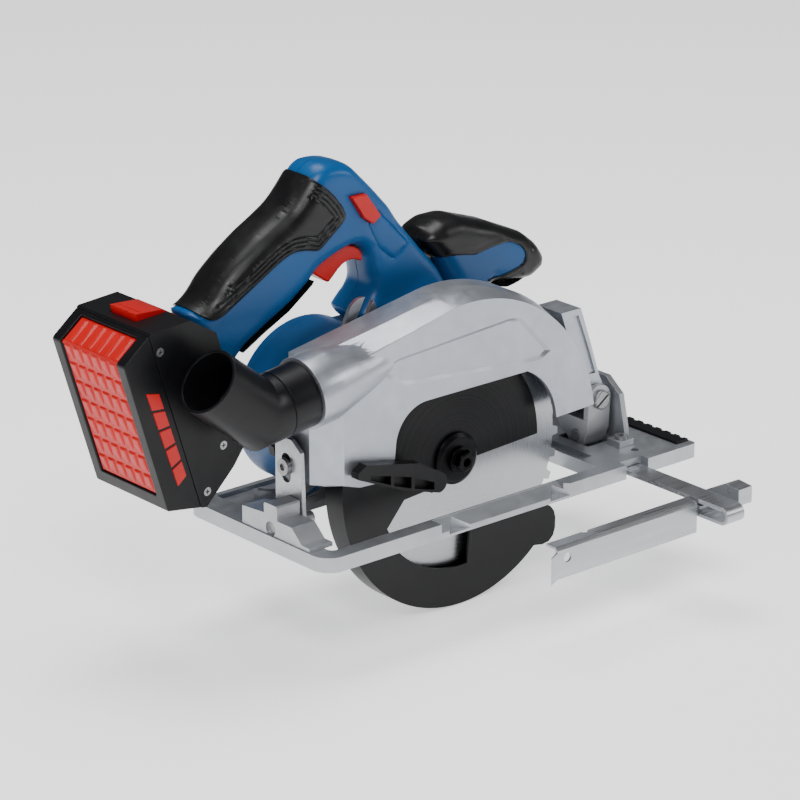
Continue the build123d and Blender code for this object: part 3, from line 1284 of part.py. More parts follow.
# ---------------------------------------------------------------- front handle
with BuildPart() as front_handle_core:
    with BuildSketch(side(SHELL_Y[2])):
        Polygon((1.2, 143.5), (3.6, 150), (13, 154), (27, 154), (53.4, 145.4), (79.6, 133.6), (88.6, 126.2),
                (94.2, 118.4), (93.4, 112.6), (84.4, 107.6), (64, 107.6), (54, 109.4), (46, 103), (21, 103),
                (21, 114.6), (12.2, 131), align=None)
    extrude(amount=SHELL_Y[2] - SHELL_Y[0])
    with BuildSketch(side(SHELL_Y[0])):
        Polygon((22, 103), (22, 113), (36, 109), (44, 103), align=None)
    extrude(amount=1)
    fillet(front_handle_core.edges().filter_by(Axis.Y).group_by(Axis.X)[-1], 1)
front_handle_core.part.label = "front_handle_core"
export_step(front_handle_core.part, "parts/front_handle_core.step")

CORE_TOP = ((0.6, 143.8), (3.3, 150.3), (12.9, 154.3), (27.1, 154.3), (53.6, 145.7), (79.8, 133.9),
            (88.9, 126.4), (94.5, 118.4), (93.6, 112.4), (84.5, 107.3))
FRONT_TOP = ((-2.4, 146), (3, 153), (13, 157), (27, 157), (54, 148), (81, 136), (91, 128), (97, 119),
             (96, 111), (85, 105))
FRONT_LOWER = ((64, 105), (54, 108), (46, 114), (59, 114), (74, 118), (77, 127), (63, 135), (49, 134),
               (37, 132), (20, 135), (8, 134), (-0.6, 142))
with BuildPart() as front_handle_grip:
    with BuildSketch(side(HANDLE_Y + GRIP_HALF)):
        Polygon(*FRONT_TOP, (64, 105), (64, 107.3), *reversed(CORE_TOP), align=None)
    extrude(amount=2 * GRIP_HALF)
    for far in (HANDLE_Y + GRIP_HALF, SHELL_Y[0]):
        with BuildSketch(side(far)):
            Polygon(*FRONT_TOP, *FRONT_LOWER, align=None)
        extrude(amount=RUBBER)
front_handle_grip.part.label = "front_handle_grip"
export_step(front_handle_grip.part, "parts/front_handle_grip.step")

# ================================================================ battery pack
PACK_Y = (HANDLE_Y - BATTERY_WIDTH / 2, HANDLE_Y + BATTERY_WIDTH / 2)
PACK_WALL = 1.6
LID_AT = -167.0                        # where the lid meets the tub
PACK_OUTLINE = ((-236, 128), (-217, 143), (-190, 145), (-172, 134), (-151, 66), (-161, 52), (-181, 32),
                (-208, 36))
PACK_SCREWS = ((-211, 131), (-168, 66), (-180, 41))
PANEL = (pack_point(-188.1, 104), (-235.8, 128), (-221, 139.6), (-219.8, 138.1), (-234, 127.2),
         pack_point(-186.1, 104))
PANEL_Y = (6.0, 58.0)
CELL_R = 9.0
CELL_Y = (PACK_Y[0] + 1.7, PACK_Y[1] - 1.7)


def pack_band(low, high):
    """Keep the part of the side view between two distances along the pack's normal."""
    Polygon(pack_point(low, -60), pack_point(low, 260), pack_point(high, 260), pack_point(high, -60),
            align=None, mode=Mode.INTERSECT)


with BuildPart() as battery_tub:
    with BuildSketch(side(PACK_Y[1])):
        Polygon(*PACK_OUTLINE, align=None)
        pack_band(-200, LID_AT)
    extrude(amount=PACK_Y[1] - PACK_Y[0])
    fillet(battery_tub.edges().filter_by(Axis.Y).group_by(Axis.X)[0], 3)
    with BuildSketch(side(PACK_Y[1] - PACK_WALL)):
        Polygon(*PACK_OUTLINE, align=None)
        offset(amount=-3.8, mode=Mode.REPLACE)
        pack_band(-200, LID_AT + 1)
    extrude(amount=PACK_Y[1] - PACK_Y[0] - 2 * PACK_WALL, mode=Mode.SUBTRACT)
    # seat of the rear panel
    with BuildSketch(side(PANEL_Y[1] + 0.1)):
        Polygon(pack_point(-186, 103.9), pack_point(-200, 103.9), (-250, 130), (-233, 156),
                (-219.65, 138.1), (-233.9, 127.1), align=None)
    extrude(amount=PANEL_Y[1] - PANEL_Y[0] + 0.2, mode=Mode.SUBTRACT)
battery_tub.part.label = "battery_tub"
export_step(battery_tub.part, "parts/battery_tub.step")

with BuildPart() as battery_panel:
    with BuildSketch(side(PANEL_Y[1])):
        Polygon(*PANEL, align=None)
    extrude(amount=PANEL_Y[1] - PANEL_Y[0])
    # grooves between the raised pads
    rear_face = Plane(origin=(PANEL[0][0], HANDLE_Y, PANEL[0][1]), x_dir=(0, 1, 0), z_dir=(-cos(radians(
        BATTERY_TILT)), 0, -sin(radians(BATTERY_TILT))))
    with BuildSketch(rear_face.offset(-0.9)):
        with Locations(*[(-21.7 + 8.68 * i, 0) for i in range(6)]):
            Rectangle(1.6, 300)
        with Locations(*[(0, 14 * i) for i in range(-6, 7)]):
            Rectangle(60, 2.0)
    extrude(amount=3, mode=Mode.SUBTRACT)
battery_panel.part.label = "battery_panel"
export_step(battery_panel.part, "parts/battery_panel.step")

LATCH = ((-211, 147.5), (-192, 146.5), (-174, 135.8), (-175.2, 133.4), (-192, 141.5), (-210, 142.5))
LATCH_Y = (20.0, 44.0)
LATCH_TRAVEL = 1.5
with BuildPart() as battery_lid:
    with BuildSketch(side(PACK_Y[1])):
        Polygon(*PACK_OUTLINE, align=None)
        pack_band(LID_AT, -100)
    extrude(amount=PACK_Y[1] - PACK_Y[0])
    with BuildSketch(side(PACK_Y[1] - PACK_WALL)):
        Polygon(*PACK_OUTLINE, align=None)
        offset(amount=-2.2, mode=Mode.REPLACE)
        pack_band(LID_AT - 1, PACK_FACE - 11)
        with Locations(*PACK_SCREWS):
            Circle(3.2, mode=Mode.SUBTRACT)
    extrude(amount=PACK_Y[1] - PACK_Y[0] - 2 * PACK_WALL, mode=Mode.SUBTRACT)
    # channel for the tongue, open at the bottom
    with BuildSketch(side(TONGUE_Y[1] + 0.4)):
        pack_box(PACK_FACE - 8, PACK_FACE + 2, 80, 174)
    extrude(amount=TONGUE_Y[1] - TONGUE_Y[0] + 0.8, mode=Mode.SUBTRACT)
    # seat of the latch, deep enough for its travel
    with BuildSketch(side(LATCH_Y[1] + 0.4)):
        Polygon(*LATCH, align=None)
        for drop in (0.9, LATCH_TRAVEL + 0.4):
            with Locations((PACK_AXIS.X * -drop, PACK_AXIS.Z * -drop)):
                Polygon(*LATCH, align=None)
        Polygon((-211.4, 160), (-211.4, 141), (-192, 140), (-175, 132.6), (-173, 134), (-173, 160), align=None)
    extrude(amount=LATCH_Y[1] - LATCH_Y[0] + 0.8, mode=Mode.SUBTRACT)
    with BuildSketch(side(PACK_Y[0] + 14)):
        with Locations(*PACK_SCREWS):
            Circle(1.4)
    extrude(amount=20, mode=Mode.SUBTRACT)
    with BuildSketch(side(PACK_Y[0] + 2)):
        with Locations(*PACK_SCREWS):
            Circle(2.7)
    extrude(amount=4, mode=Mode.SUBTRACT)
battery_lid.part.label = "battery_lid"
export_step(battery_lid.part, "parts/battery_lid.step")

with BuildPart() as battery_latch:
    with BuildSketch(side(LATCH_Y[1])):
        Polygon(*LATCH, align=None)
    extrude(amount=LATCH_Y[1] - LATCH_Y[0])
    # finger ribs
    for x in (-207, -203, -199):
        with BuildSketch(side(LATCH_Y[1] - 2)):
            with Locations((x, 147.8)):
                Rectangle(1.6, 1.6)
        extrude(amount=LATCH_Y[1] - LATCH_Y[0] - 4, mode=Mode.SUBTRACT)
battery_latch.part.label = "battery_latch"
export_step(battery_latch.part, "parts/battery_latch.step")

with BuildPart() as battery_cells:
    for row in (-174.6, -156.4):
        with BuildSketch(side(CELL_Y[1])):
            with Locations(*[pack_point(row, 104.5 + 18.1 * i) for i in range(5)]):
                Circle(CELL_R)
        extrude(amount=CELL_Y[1] - CELL_Y[0])
battery_cells.part.label = "battery_cells"
export_step(battery_cells.part, "parts/battery_cells.step")

with BuildPart() as battery_board:
    with BuildSketch(side(60)):
        pack_box(-145.6, -144.0, 118, 178)
    extrude(amount=56)
    with BuildSketch(side(41)):
        pack_box(-144.0, -139.0, 150, 170)
    extrude(amount=18)
battery_board.part.label = "battery_board"
export_step(battery_board.part, "parts/battery_board.step")

with BuildPart() as battery_screws:
    for x, z in PACK_SCREWS:
        with BuildSketch(side(PACK_Y[0] + 2)):
            with Locations((x, z)):
                Circle(2.6)
        extrude(amount=1.6)
        with BuildSketch(side(PACK_Y[0] + 12)):
            with Locations((x, z)):
                Circle(1.35)
        extrude(amount=10)
        with BuildSketch(side(PACK_Y[0] + 1.6)):
            with Locations((x, z)):
                Rectangle(2.8, 0.7)
                Rectangle(0.7, 2.8)
        extrude(amount=2, mode=Mode.SUBTRACT)
battery_screws.part.label = "battery_screws"
export_step(battery_screws.part, "parts/battery_screws.step")
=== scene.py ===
"""Looks for the circular saw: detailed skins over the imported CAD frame, their materials, and a studio."""

import json
import math

import bmesh
import bpy
import numpy as np
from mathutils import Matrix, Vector
from mathutils.geometry import delaunay_2d_cdt

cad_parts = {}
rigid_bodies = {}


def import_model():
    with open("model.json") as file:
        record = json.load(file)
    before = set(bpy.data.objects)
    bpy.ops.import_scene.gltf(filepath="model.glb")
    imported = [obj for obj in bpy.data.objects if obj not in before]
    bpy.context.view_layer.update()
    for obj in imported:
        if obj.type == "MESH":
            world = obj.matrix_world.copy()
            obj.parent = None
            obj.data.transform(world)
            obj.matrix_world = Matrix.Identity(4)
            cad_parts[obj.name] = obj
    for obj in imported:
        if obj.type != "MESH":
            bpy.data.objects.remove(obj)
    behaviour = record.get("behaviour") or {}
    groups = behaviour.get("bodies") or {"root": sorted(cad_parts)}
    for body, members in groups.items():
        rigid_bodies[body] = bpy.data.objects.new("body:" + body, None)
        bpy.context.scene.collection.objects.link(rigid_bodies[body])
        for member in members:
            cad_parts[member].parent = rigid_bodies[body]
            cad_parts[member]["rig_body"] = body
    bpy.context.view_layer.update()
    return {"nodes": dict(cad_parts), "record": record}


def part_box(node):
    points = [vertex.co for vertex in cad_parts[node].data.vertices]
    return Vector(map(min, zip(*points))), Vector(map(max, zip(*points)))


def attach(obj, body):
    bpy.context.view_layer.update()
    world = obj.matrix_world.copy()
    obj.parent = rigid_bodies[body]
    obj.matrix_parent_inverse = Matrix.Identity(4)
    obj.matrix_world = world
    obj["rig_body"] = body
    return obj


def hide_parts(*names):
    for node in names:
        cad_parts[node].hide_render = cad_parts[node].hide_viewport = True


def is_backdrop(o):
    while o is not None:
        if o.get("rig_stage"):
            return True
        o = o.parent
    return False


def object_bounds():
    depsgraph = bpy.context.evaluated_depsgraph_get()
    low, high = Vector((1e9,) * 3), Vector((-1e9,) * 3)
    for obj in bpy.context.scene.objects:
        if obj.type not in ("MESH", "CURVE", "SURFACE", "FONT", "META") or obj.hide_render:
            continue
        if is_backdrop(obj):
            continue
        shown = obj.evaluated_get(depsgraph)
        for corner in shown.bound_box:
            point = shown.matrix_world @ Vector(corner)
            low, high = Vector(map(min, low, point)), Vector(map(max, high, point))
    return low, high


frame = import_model()
NODES = frame["nodes"]
RECORD = frame["record"]
SLOT_OF = {part["node"]: part["material_slot"] for part in RECORD["subparts"]}
MM = 0.001


# ------------------------------------------------------------------ places taken from the frame
def middle(node):
    """Middle of a CAD node's box."""
    low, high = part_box(node)
    return (low + high) / 2


SPINDLE = middle("blade")


# ------------------------------------------------------------------ materials
class Shader:
    """A Principled material whose textures use the row frame's own coordinates, in metres."""

    def __init__(self, name, colour, roughness, metallic=0.0, specular=0.5):
        self.material = bpy.data.materials.new(name)
        self.material.use_nodes = True
        self.tree = self.material.node_tree
        self.bsdf = self.tree.nodes["Principled BSDF"]
        self.bsdf.inputs["Base Color"].default_value = (*colour, 1)
        self.bsdf.inputs["Roughness"].default_value = roughness
        self.bsdf.inputs["Metallic"].default_value = metallic
        self.bsdf.inputs["Specular IOR Level"].default_value = specular
        self.colour = colour
        self.roughness = roughness
        self.coordinates = self.tree.nodes.new("ShaderNodeTexCoord").outputs["Object"]
        self.last_bump = None

    def node(self, kind, **inputs):
        """A new shader node with these inputs, each a value or another node's socket."""
        made = self.tree.nodes.new(kind)
        for key, value in inputs.items():
            name = key.replace("_", " ")
            if isinstance(value, bpy.types.NodeSocket):
                self.tree.links.new(value, made.inputs[name])
            else:
                made.inputs[name].default_value = value
        return made

    def compute(self, operation, a, b):
        """Result of a maths node, whose inputs are numbers or sockets."""
        made = self.tree.nodes.new("ShaderNodeMath")
        made.operation = operation
        for socket, value in zip(made.inputs, (a, b)):
            if isinstance(value, bpy.types.NodeSocket):
                self.tree.links.new(value, socket)
            else:
                socket.default_value = value
        return made.outputs[0]

    def combine(self, operation, a, b=None):
        """A vector maths node; b is a fixed vector."""
        made = self.node("ShaderNodeVectorMath", Vector=a)
        made.operation = operation
        if b is not None:
            made.inputs[1].default_value = b
        return made

    def noise(self, scale, detail=3.0, stretch=(1, 1, 1), coordinates=None):
        """Noise with features about 1/scale metres across."""
        mapping = self.node("ShaderNodeMapping", Vector=coordinates or self.coordinates, Scale=stretch)
        return self.node("ShaderNodeTexNoise", Vector=mapping.outputs[0], Scale=scale, Detail=detail,
                         Roughness=0.55).outputs["Fac"]

    def ramp(self, factor, low, high, at=(0.3, 0.7)):
        """Colour or grey that runs from low to high as the factor crosses the two places."""
        made = self.tree.nodes.new("ShaderNodeValToRGB")
        self.tree.links.new(factor, made.inputs[0])
        for stop, place, value in zip(made.color_ramp.elements, at, (low, high)):
            stop.position = place
            stop.color = (*value, 1) if hasattr(value, "__len__") else (value, value, value, 1)
        return made.outputs[0]

    def paint(self, socket):
        """Take the base colour from a socket."""
        self.tree.links.new(socket, self.bsdf.inputs["Base Color"])
        return self

    def vary_colour(self, scale, amount, stretch=(1, 1, 1)):
        """Slight light and dark patches."""
        low = [c * (1 - amount) for c in self.colour]
        high = [min(1, c * (1 + amount)) for c in self.colour]
        return self.paint(self.ramp(self.noise(scale, 4, stretch), low, high, (0.35, 0.65)))

    def vary_roughness(self, scale, amount, stretch=(1, 1, 1)):
        """Slight shinier and duller patches."""
        low, high = self.roughness - amount, self.roughness + amount
        socket = self.ramp(self.noise(scale, 3, stretch), low, high)
        self.tree.links.new(socket, self.bsdf.inputs["Roughness"])
        return self

    def bump(self, height, strength, distance):
        """Relief in the shading, on top of any earlier relief."""
        made = self.node("ShaderNodeBump", Strength=strength, Distance=distance, Height=height)
        if self.last_bump is not None:
            self.tree.links.new(self.last_bump, made.inputs["Normal"])
        self.last_bump = made.outputs[0]
        self.tree.links.new(self.last_bump, self.bsdf.inputs["Normal"])
        return self

    def grain(self, scale, strength, distance, stretch=(1, 1, 1)):
        """Fine relief."""
        return self.bump(self.noise(scale, 2, stretch), strength, distance)


def moulded(name, colour, roughness=0.42, grain=0.25, specular=0.3):
    """Moulded plastic with a fine spark-eroded texture."""
    made = Shader(name, colour, roughness, specular=specular)
    made.vary_colour(30, 0.05)
    made.vary_roughness(60, 0.05)
    return made.grain(2600, grain, 0.00012).material


def soft_rubber(name):
    """Black rubber with a coarser texture than the plastic's."""
    made = Shader(name, (0.0035, 0.0035, 0.004), 0.36, specular=0.35)
    made.vary_colour(45, 0.2)
    made.vary_roughness(90, 0.07)
    return made.grain(1700, 0.35, 0.0002).material


def cast_metal(name, colour, roughness=0.42, metallic=0.75):
    """Die-cast alloy with a fine silver paint."""
    made = Shader(name, colour, roughness, metallic)
    made.vary_colour(25, 0.04)
    made.vary_roughness(120, 0.06)
    made.grain(2200, 0.3, 0.00015)
    return made.grain(120, 0.12, 0.0006).material


def rolled_metal(name, colour, roughness=0.34, along=(0.03, 1, 1)):
    """Sheet metal with a rolling direction."""
    made = Shader(name, colour, roughness, 0.95)
    made.vary_colour(60, 0.06, along)
    made.vary_roughness(900, 0.09, along)
    return made.grain(1500, 0.12, 0.0001, along).material


BLADE_GREYS = (0.29, 0.30, 0.32), (0.43, 0.44, 0.46)
PRINT_BLACK = (0.008, 0.008, 0.009)
PRINT_LEVEL = -0.004       # height of the print's lower edge at the spindle, in metres
PRINT_SLOPE = -0.05        # how far that edge falls for each metre forwards
PRINT_RADIUS = 0.066


def printed_blade(name, centre):
    """Steel ground in circles round its bore, with a plain black print over the upper part of its faces."""
    made = Shader(name, (0.38, 0.39, 0.41), 0.27, 1.0, specular=0.15)
    offset = made.combine("SUBTRACT", made.coordinates, centre).outputs[0]
    flat = made.combine("MULTIPLY", offset, (1, 0, 1)).outputs[0]
    radius = made.combine("LENGTH", flat).outputs["Value"]
    rings = made.tree.nodes.new("ShaderNodeCombineXYZ")
    made.tree.links.new(radius, rings.inputs[0])
    lines = made.noise(2800, 2, coordinates=rings.outputs[0])
    made.tree.links.new(made.ramp(lines, 0.2, 0.36), made.bsdf.inputs["Roughness"])
    made.bump(lines, 0.15, 0.0001)

    split = made.node("ShaderNodeSeparateXYZ", Vector=offset)
    x, z = split.outputs["X"], split.outputs["Z"]
    height = made.compute("ADD", z, made.compute("MULTIPLY", x, PRINT_SLOPE))
    above = made.compute("GREATER_THAN", height, PRINT_LEVEL)
    within = made.compute("LESS_THAN", radius, PRINT_RADIUS)
    printed = made.compute("MULTIPLY", above, within)
    mixed = made.tree.nodes.new("ShaderNodeMix")
    mixed.data_type = "RGBA"
    colour = {socket.name: socket for socket in mixed.inputs if socket.type == "RGBA"}
    made.tree.links.new(printed, mixed.inputs["Factor"])
    made.tree.links.new(made.ramp(lines, *BLADE_GREYS), colour["A"])
    colour["B"].default_value = (*PRINT_BLACK, 1)
    made.paint(next(socket for socket in mixed.outputs if socket.type == "RGBA"))
    made.tree.links.new(made.compute("SUBTRACT", 1.0, printed), made.bsdf.inputs["Metallic"])
    return made.material


def machine_steel(name, colour, roughness):
    """Turned or stamped steel, as it comes from the machine."""
    made = Shader(name, colour, roughness, 0.9)
    made.vary_colour(400, 0.12)
    return made.grain(900, 0.1, 0.0001).material


SILVER = (0.40, 0.42, 0.46)
MATERIALS = {
    "base_aluminium": cast_metal("base_aluminium", (0.41, 0.425, 0.45), 0.38, 0.85),
    "guard_silver": cast_metal("guard_silver", SILVER, 0.36, 0.8),
    "cast_grey": cast_metal("cast_grey", (0.44, 0.45, 0.47), 0.46, 0.8),
    "sheet_steel": rolled_metal("sheet_steel", (0.43, 0.44, 0.46)),
    "screw_steel": machine_steel("screw_steel", (0.30, 0.30, 0.31), 0.36),
    "bearing_steel": machine_steel("bearing_steel", (0.62, 0.62, 0.62), 0.28),
    "spring_steel": machine_steel("spring_steel", (0.45, 0.45, 0.46), 0.32),
    "motor_steel": machine_steel("motor_steel", (0.20, 0.18, 0.17), 0.5),
    "black_steel": machine_steel("black_steel", (0.010, 0.010, 0.011), 0.34),
    "blade_steel": printed_blade("blade_steel", SPINDLE),
    "blue_plastic": moulded("blue_plastic", (0.0015, 0.075, 0.235), 0.34),
    "black_plastic": moulded("black_plastic", (0.004, 0.004, 0.005), 0.36, specular=0.22),
    "black_rubber": soft_rubber("black_rubber"),
    "red_plastic": moulded("red_plastic", (0.50, 0.006, 0.005), 0.34),
    "board_green": moulded("board_green", (0.02, 0.16, 0.07), 0.4, 0.1),
    "cell_wrap": moulded("cell_wrap", (0.05, 0.28, 0.30), 0.3, 0.05),
}


# ------------------------------------------------------------------ mesh helpers
def make_object(name, mesh, material):
    """A new object in the scene with this mesh and its one material."""
    made = bpy.data.objects.new(name, mesh)
    bpy.context.scene.collection.objects.link(made)
    mesh.materials.clear()
    mesh.materials.append(material)
    return made


def smooth(mesh, angle=32):
    """Smooth shading, with creases where faces meet at more than this angle, in degrees."""
    mesh.shade_smooth()
    mesh.set_sharp_from_angle(angle=math.radians(angle))


def settle(piece, node, *more):
    """The piece stands for these CAD nodes: it rides on the first one's body, and the nodes are hidden."""
    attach(piece, NODES[node]["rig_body"])
    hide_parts(node, *more)


def apply_modifiers(piece):
    """Make the modifiers' result the piece's own mesh."""
    depsgraph = bpy.context.evaluated_depsgraph_get()
    applied = bpy.data.meshes.new_from_object(piece.evaluated_get(depsgraph))
    piece.modifiers.clear()
    piece.data = applied


SAME_POINT = 0.004 * MM          # points closer than this are one
FLAT_ANGLE = 0.6                 # faces that meet at less than this, in degrees, are one
ROUNDED_ANGLE = 30               # edges sharper than this, in degrees, are rounded


def rounded_copy(node, width):
    """A copy of a CAD node with its edges rounded, in mm, which stands for the node."""
    mesh = NODES[node].data.copy()
    form = bmesh.new()
    form.from_mesh(mesh)
    bmesh.ops.remove_doubles(form, verts=form.verts, dist=SAME_POINT)
    bmesh.ops.dissolve_limit(form, angle_limit=math.radians(FLAT_ANGLE), verts=form.verts,
                             edges=form.edges)
    form.to_mesh(mesh)
    form.free()
    piece = make_object(node + "_skin", mesh, MATERIALS[SLOT_OF[node]])
    bevel = piece.modifiers.new("rounding", "BEVEL")
    bevel.width = width * MM
    bevel.segments = 2
    bevel.limit_method = "ANGLE"
    bevel.angle_limit = math.radians(ROUNDED_ANGLE)
    bevel.use_clamp_overlap = True
    bevel.miter_outer = "MITER_ARC"
    apply_modifiers(piece)
    smooth(piece.data, 40)
    weighting = piece.modifiers.new("weighting", "WEIGHTED_NORMAL")
    weighting.keep_sharp = True
    apply_modifiers(piece)
    settle(piece, node)


# ------------------------------------------------------------------ rounded forms
def face_loops(node, far=False):
    """Edge loops of a CAD node's outermost flat face along Y, in mm, longest first."""
    mesh = NODES[node].data
    sign = 1 if far else -1
    faces = [f for f in mesh.polygons if f.normal.y * sign > 0.999]
    extreme = max(sign * mesh.vertices[f.vertices[0]].co.y for f in faces)
    used = set()
    for face in faces:
        if sign * mesh.vertices[face.vertices[0]].co.y > extreme - 0.05 * MM:
            corners = [tuple(round(c / MM, 3) for c in mesh.vertices[v].co.xz) for v in face.vertices]
            for a, b in zip(corners, corners[1:] + corners[:1]):
                if (b, a) in used:
                    used.remove((b, a))
                else:
                    used.add((a, b))
    following = dict(sorted(used))
    loops = []
    while following:
        first, point = next(iter(following.items()))
        loop = [first]
        del following[first]
        while point != first and point in following:
            loop.append(point)
            point = following.pop(point)
        loops.append(loop)
    return sorted(loops, key=lambda loop: -abs(area(loop)))


def area(loop):
    """Area inside a loop, positive when it runs anticlockwise."""
    pairs = zip(loop, loop[1:] + loop[:1])
    return sum(a[0] * b[1] - b[0] * a[1] for a, b in pairs) / 2


def even_loop(points, step, rounding=0):
    """The loop with points every step or closer, its corners eased by this many passes."""
    spaced = []
    for a, b in zip(points, points[1:] + points[:1]):
        count = max(1, math.ceil(math.dist(a, b) / step))
        spaced += [(a[0] + (b[0] - a[0]) * i / count, a[1] + (b[1] - a[1]) * i / count)
                   for i in range(count)]
    loop = np.array(spaced)
    for _ in range(rounding):
        loop = loop / 2 + (np.roll(loop, 1, 0) + np.roll(loop, -1, 0)) / 4
    return loop if area([tuple(p) for p in loop]) > 0 else loop[::-1]


def distance(points, loop):
    """Least distance from each point to the closed line."""
    a, b = loop, np.roll(loop, -1, 0)
    along = b - a
    length = np.maximum((along ** 2).sum(1), 1e-9)
    best = np.full(len(points), 1e9)
    for start, way, square in zip(a, along, length):
        t = np.clip(((points - start) @ way) / square, 0, 1)
        best = np.minimum(best, np.linalg.norm(points - start - t[:, None] * way, axis=1))
    return best


def inside(points, loop):
    """Whether each point lies inside the closed line."""
    x, z = points[:, 0], points[:, 1]
    result = np.zeros(len(points), bool)
    for (x0, z0), (x1, z1) in zip(loop, np.roll(loop, -1, 0)):
        crosses = (z0 > z) != (z1 > z)
        slope = (x1 - x0) / (z1 - z0) if z1 != z0 else 0
        result ^= crosses & (x < x0 + (z - z0) * slope)
    return result


def normals(loop):
    """Outward direction at each point of a loop that runs anticlockwise."""
    along = np.roll(loop, -1, 0) - np.roll(loop, 1, 0)
    along = along / np.maximum(np.linalg.norm(along, axis=1), 1e-9)[:, None]
    return np.stack([along[:, 1], -along[:, 0]], 1)


def loop_near(node, point):
    """The face loop whose middle is nearest the point."""
    return min(face_loops(node)[1:], key=lambda loop: math.dist(np.mean(loop, axis=0), point))


def open_line(points, step):
    """An open line as a thin loop there and back, with points every step or closer."""
    return even_loop(points + points[-2:0:-1], step)


def outline_offset(points, outline, amount):
    """Move points on or near the outline outwards by this much, fading out over 4 mm."""
    out = normals(outline)
    nearest = np.array([np.argmin(((outline - p) ** 2).sum(1)) for p in points])
    d = np.linalg.norm(points - outline[nearest], axis=1)
    fade = np.clip(1 - d / 4, 0, 1)[:, None]
    return points + out[nearest] * fade * amount


EDGE_RINGS = (0.25, 0.8, 1.7, 2.9, 4.4, 6.3, 8.6)     # distances of rows of points from an outline, in mm
THINNED_FROM = 3                 # rings further in than this have every second point


def tile(outline, lines=(), spacing=3.0, beside=(0.4,)):
    """Triangles over the inside of the outline that follow the outline and the lines.

    Away from the outline the points stand this spacing apart, with extra rows beside each line.
    """
    loops = [outline, *lines]
    fixed = np.concatenate(loops)
    edges, start = [], 0
    for loop in loops:
        count = len(loop)
        edges += [(start + i, start + (i + 1) % count) for i in range(count)]
        start += count
    extra = []
    for inset in EDGE_RINGS:
        ring = outline - normals(outline) * inset
        ring = ring[distance(ring, outline) > inset * 0.97]
        extra.append(ring[::1 if inset < THINNED_FROM else 2])
    for line in lines:
        for gap in beside:
            extra += [line + normals(line) * gap, line - normals(line) * gap]
    low, high = outline.min(0), outline.max(0)
    columns = np.arange(low[0], high[0], spacing)
    rows = np.arange(low[1], high[1], spacing * 0.866)
    grid = np.array([(x + (j % 2) * spacing / 2, z) for j, z in enumerate(rows) for x in columns])
    extra.append(grid[distance(grid, outline) > EDGE_RINGS[-1] + spacing * 0.4])
    extra = np.concatenate(extra)
    extra = extra[inside(extra, outline)]
    keep = distance(extra, outline) > 0.12
    for line in lines:
        keep &= distance(extra, line) > min(beside) * 0.8
    every = np.concatenate([fixed, extra[keep]])
    points, _, faces, *_ = delaunay_2d_cdt([Vector(p) for p in every], edges, [], 0, 1e-6)
    points = np.array([tuple(p) for p in points])
    faces = np.array([tuple(f) for f in faces])
    return points, faces[inside(points[faces].mean(1), outline)]


CROWN_POWER = 2.3                # 2 is a quarter circle; more is fuller


def crown(d, radius):
    """Rounding of an edge: 0 at the outline, 1 from this radius inwards."""
    t = np.clip(d / radius, 0, 1)
    return (1 - (1 - t) ** CROWN_POWER) ** (1 / CROWN_POWER)


def trough(d, place_at, width):
    """Cross-section of a fine groove: 1 at this distance, fading out either side."""
    return np.exp(-((d - place_at) / width) ** 2)


SEAM = ((-0.3, 0.0), (0.0, -0.55), (0.3, 0.0))        # across the split line, and outwards


def solid_form(name, points, faces, near, far, split=None):
    """A closed mesh between a near and a far surface, with a fine groove at the split line, in mm."""
    count = len(points)
    vertices = [(x, y, z) for (x, z), y in zip(points, near)]
    vertices += [(x, y, z) for (x, z), y in zip(points, far)]
    polygons = [tuple(int(i) for i in face) for face in faces]
    edges = set()
    for face in polygons:
        for edge in zip(face, face[1:] + face[:1]):
            if edge[::-1] in edges:
                edges.remove(edge[::-1])
            else:
                edges.add(edge)
    following = dict(edges)
    before = {b: a for a, b in edges}
    rows = {}
    for point in following:
        way = points[following[point]] - points[before[point]]
        way = way / max(np.linalg.norm(way), 1e-9)
        out = np.array([way[1], -way[0]])
        rows[point] = [point]
        if split is not None:
            for offset, step in SEAM:
                x, z = points[point] + out * step
                rows[point].append(len(vertices))
                vertices.append((x, split + offset, z))
        rows[point].append(point + count)
    mesh_faces = polygons + [tuple(i + count for i in reversed(face)) for face in polygons]
    for a, b in edges:
        for (a0, a1), (b0, b1) in zip(zip(rows[a], rows[a][1:]), zip(rows[b], rows[b][1:])):
            mesh_faces.append((b0, a0, a1, b1))
    mesh = bpy.data.meshes.new(name)
    mesh.from_pydata([tuple(c * MM for c in vertex) for vertex in vertices], [], mesh_faces)
    form = bmesh.new()
    form.from_mesh(mesh)
    bmesh.ops.remove_doubles(form, verts=form.verts, dist=0.002 * MM)
    bmesh.ops.recalc_face_normals(form, faces=form.faces)
    form.to_mesh(mesh)
    form.free()
    return mesh


def place(name, mesh, node, *more, angle=38):
    """Show a mesh in place of the nodes, smooth shaded."""
    piece = make_object(name, mesh, MATERIALS[SLOT_OF[node]])
    smooth(mesh, angle)
    settle(piece, node, *more)


# ------------------------------------------------------------------ handles
SPLIT_Y, HALF_WIDTH = 32.0, 16.0       # parting plane of both handles, and half their width
OUTLINE_STEP = 1.6
GROOVE_STEPS = (3.2, 5.8, 8.4)         # distances of the rubber's fine grooves from its lower edge
GRIP_LOWER = [(-155, 134.5), (-112, 158.6), (-103, 162), (-94, 161.5), (-84, 159), (-66, 172.5), (-63, 176),
              (-66.5, 183), (-73, 191), (-88, 204.2)]
GRIP_UPPER = [(-90, 204.4), (-95.4, 197.2), (-102, 190.2), (-112, 184.2), (-125, 177.2), (-140, 167.2),
              (-153, 156.6), (-160, 147.6), (-171, 141.5), (-166, 136), (-161, 133.5)]
BUTTON_NEAR = (-49, 178)
COVER = [(-46.5, 169.5), (-39, 174.5), (-16, 150.5), (-27, 142.5), (-38, 152)]
LEG_CENTRE, LEG_RADIUS = (-28.0, 152.0), 34.5


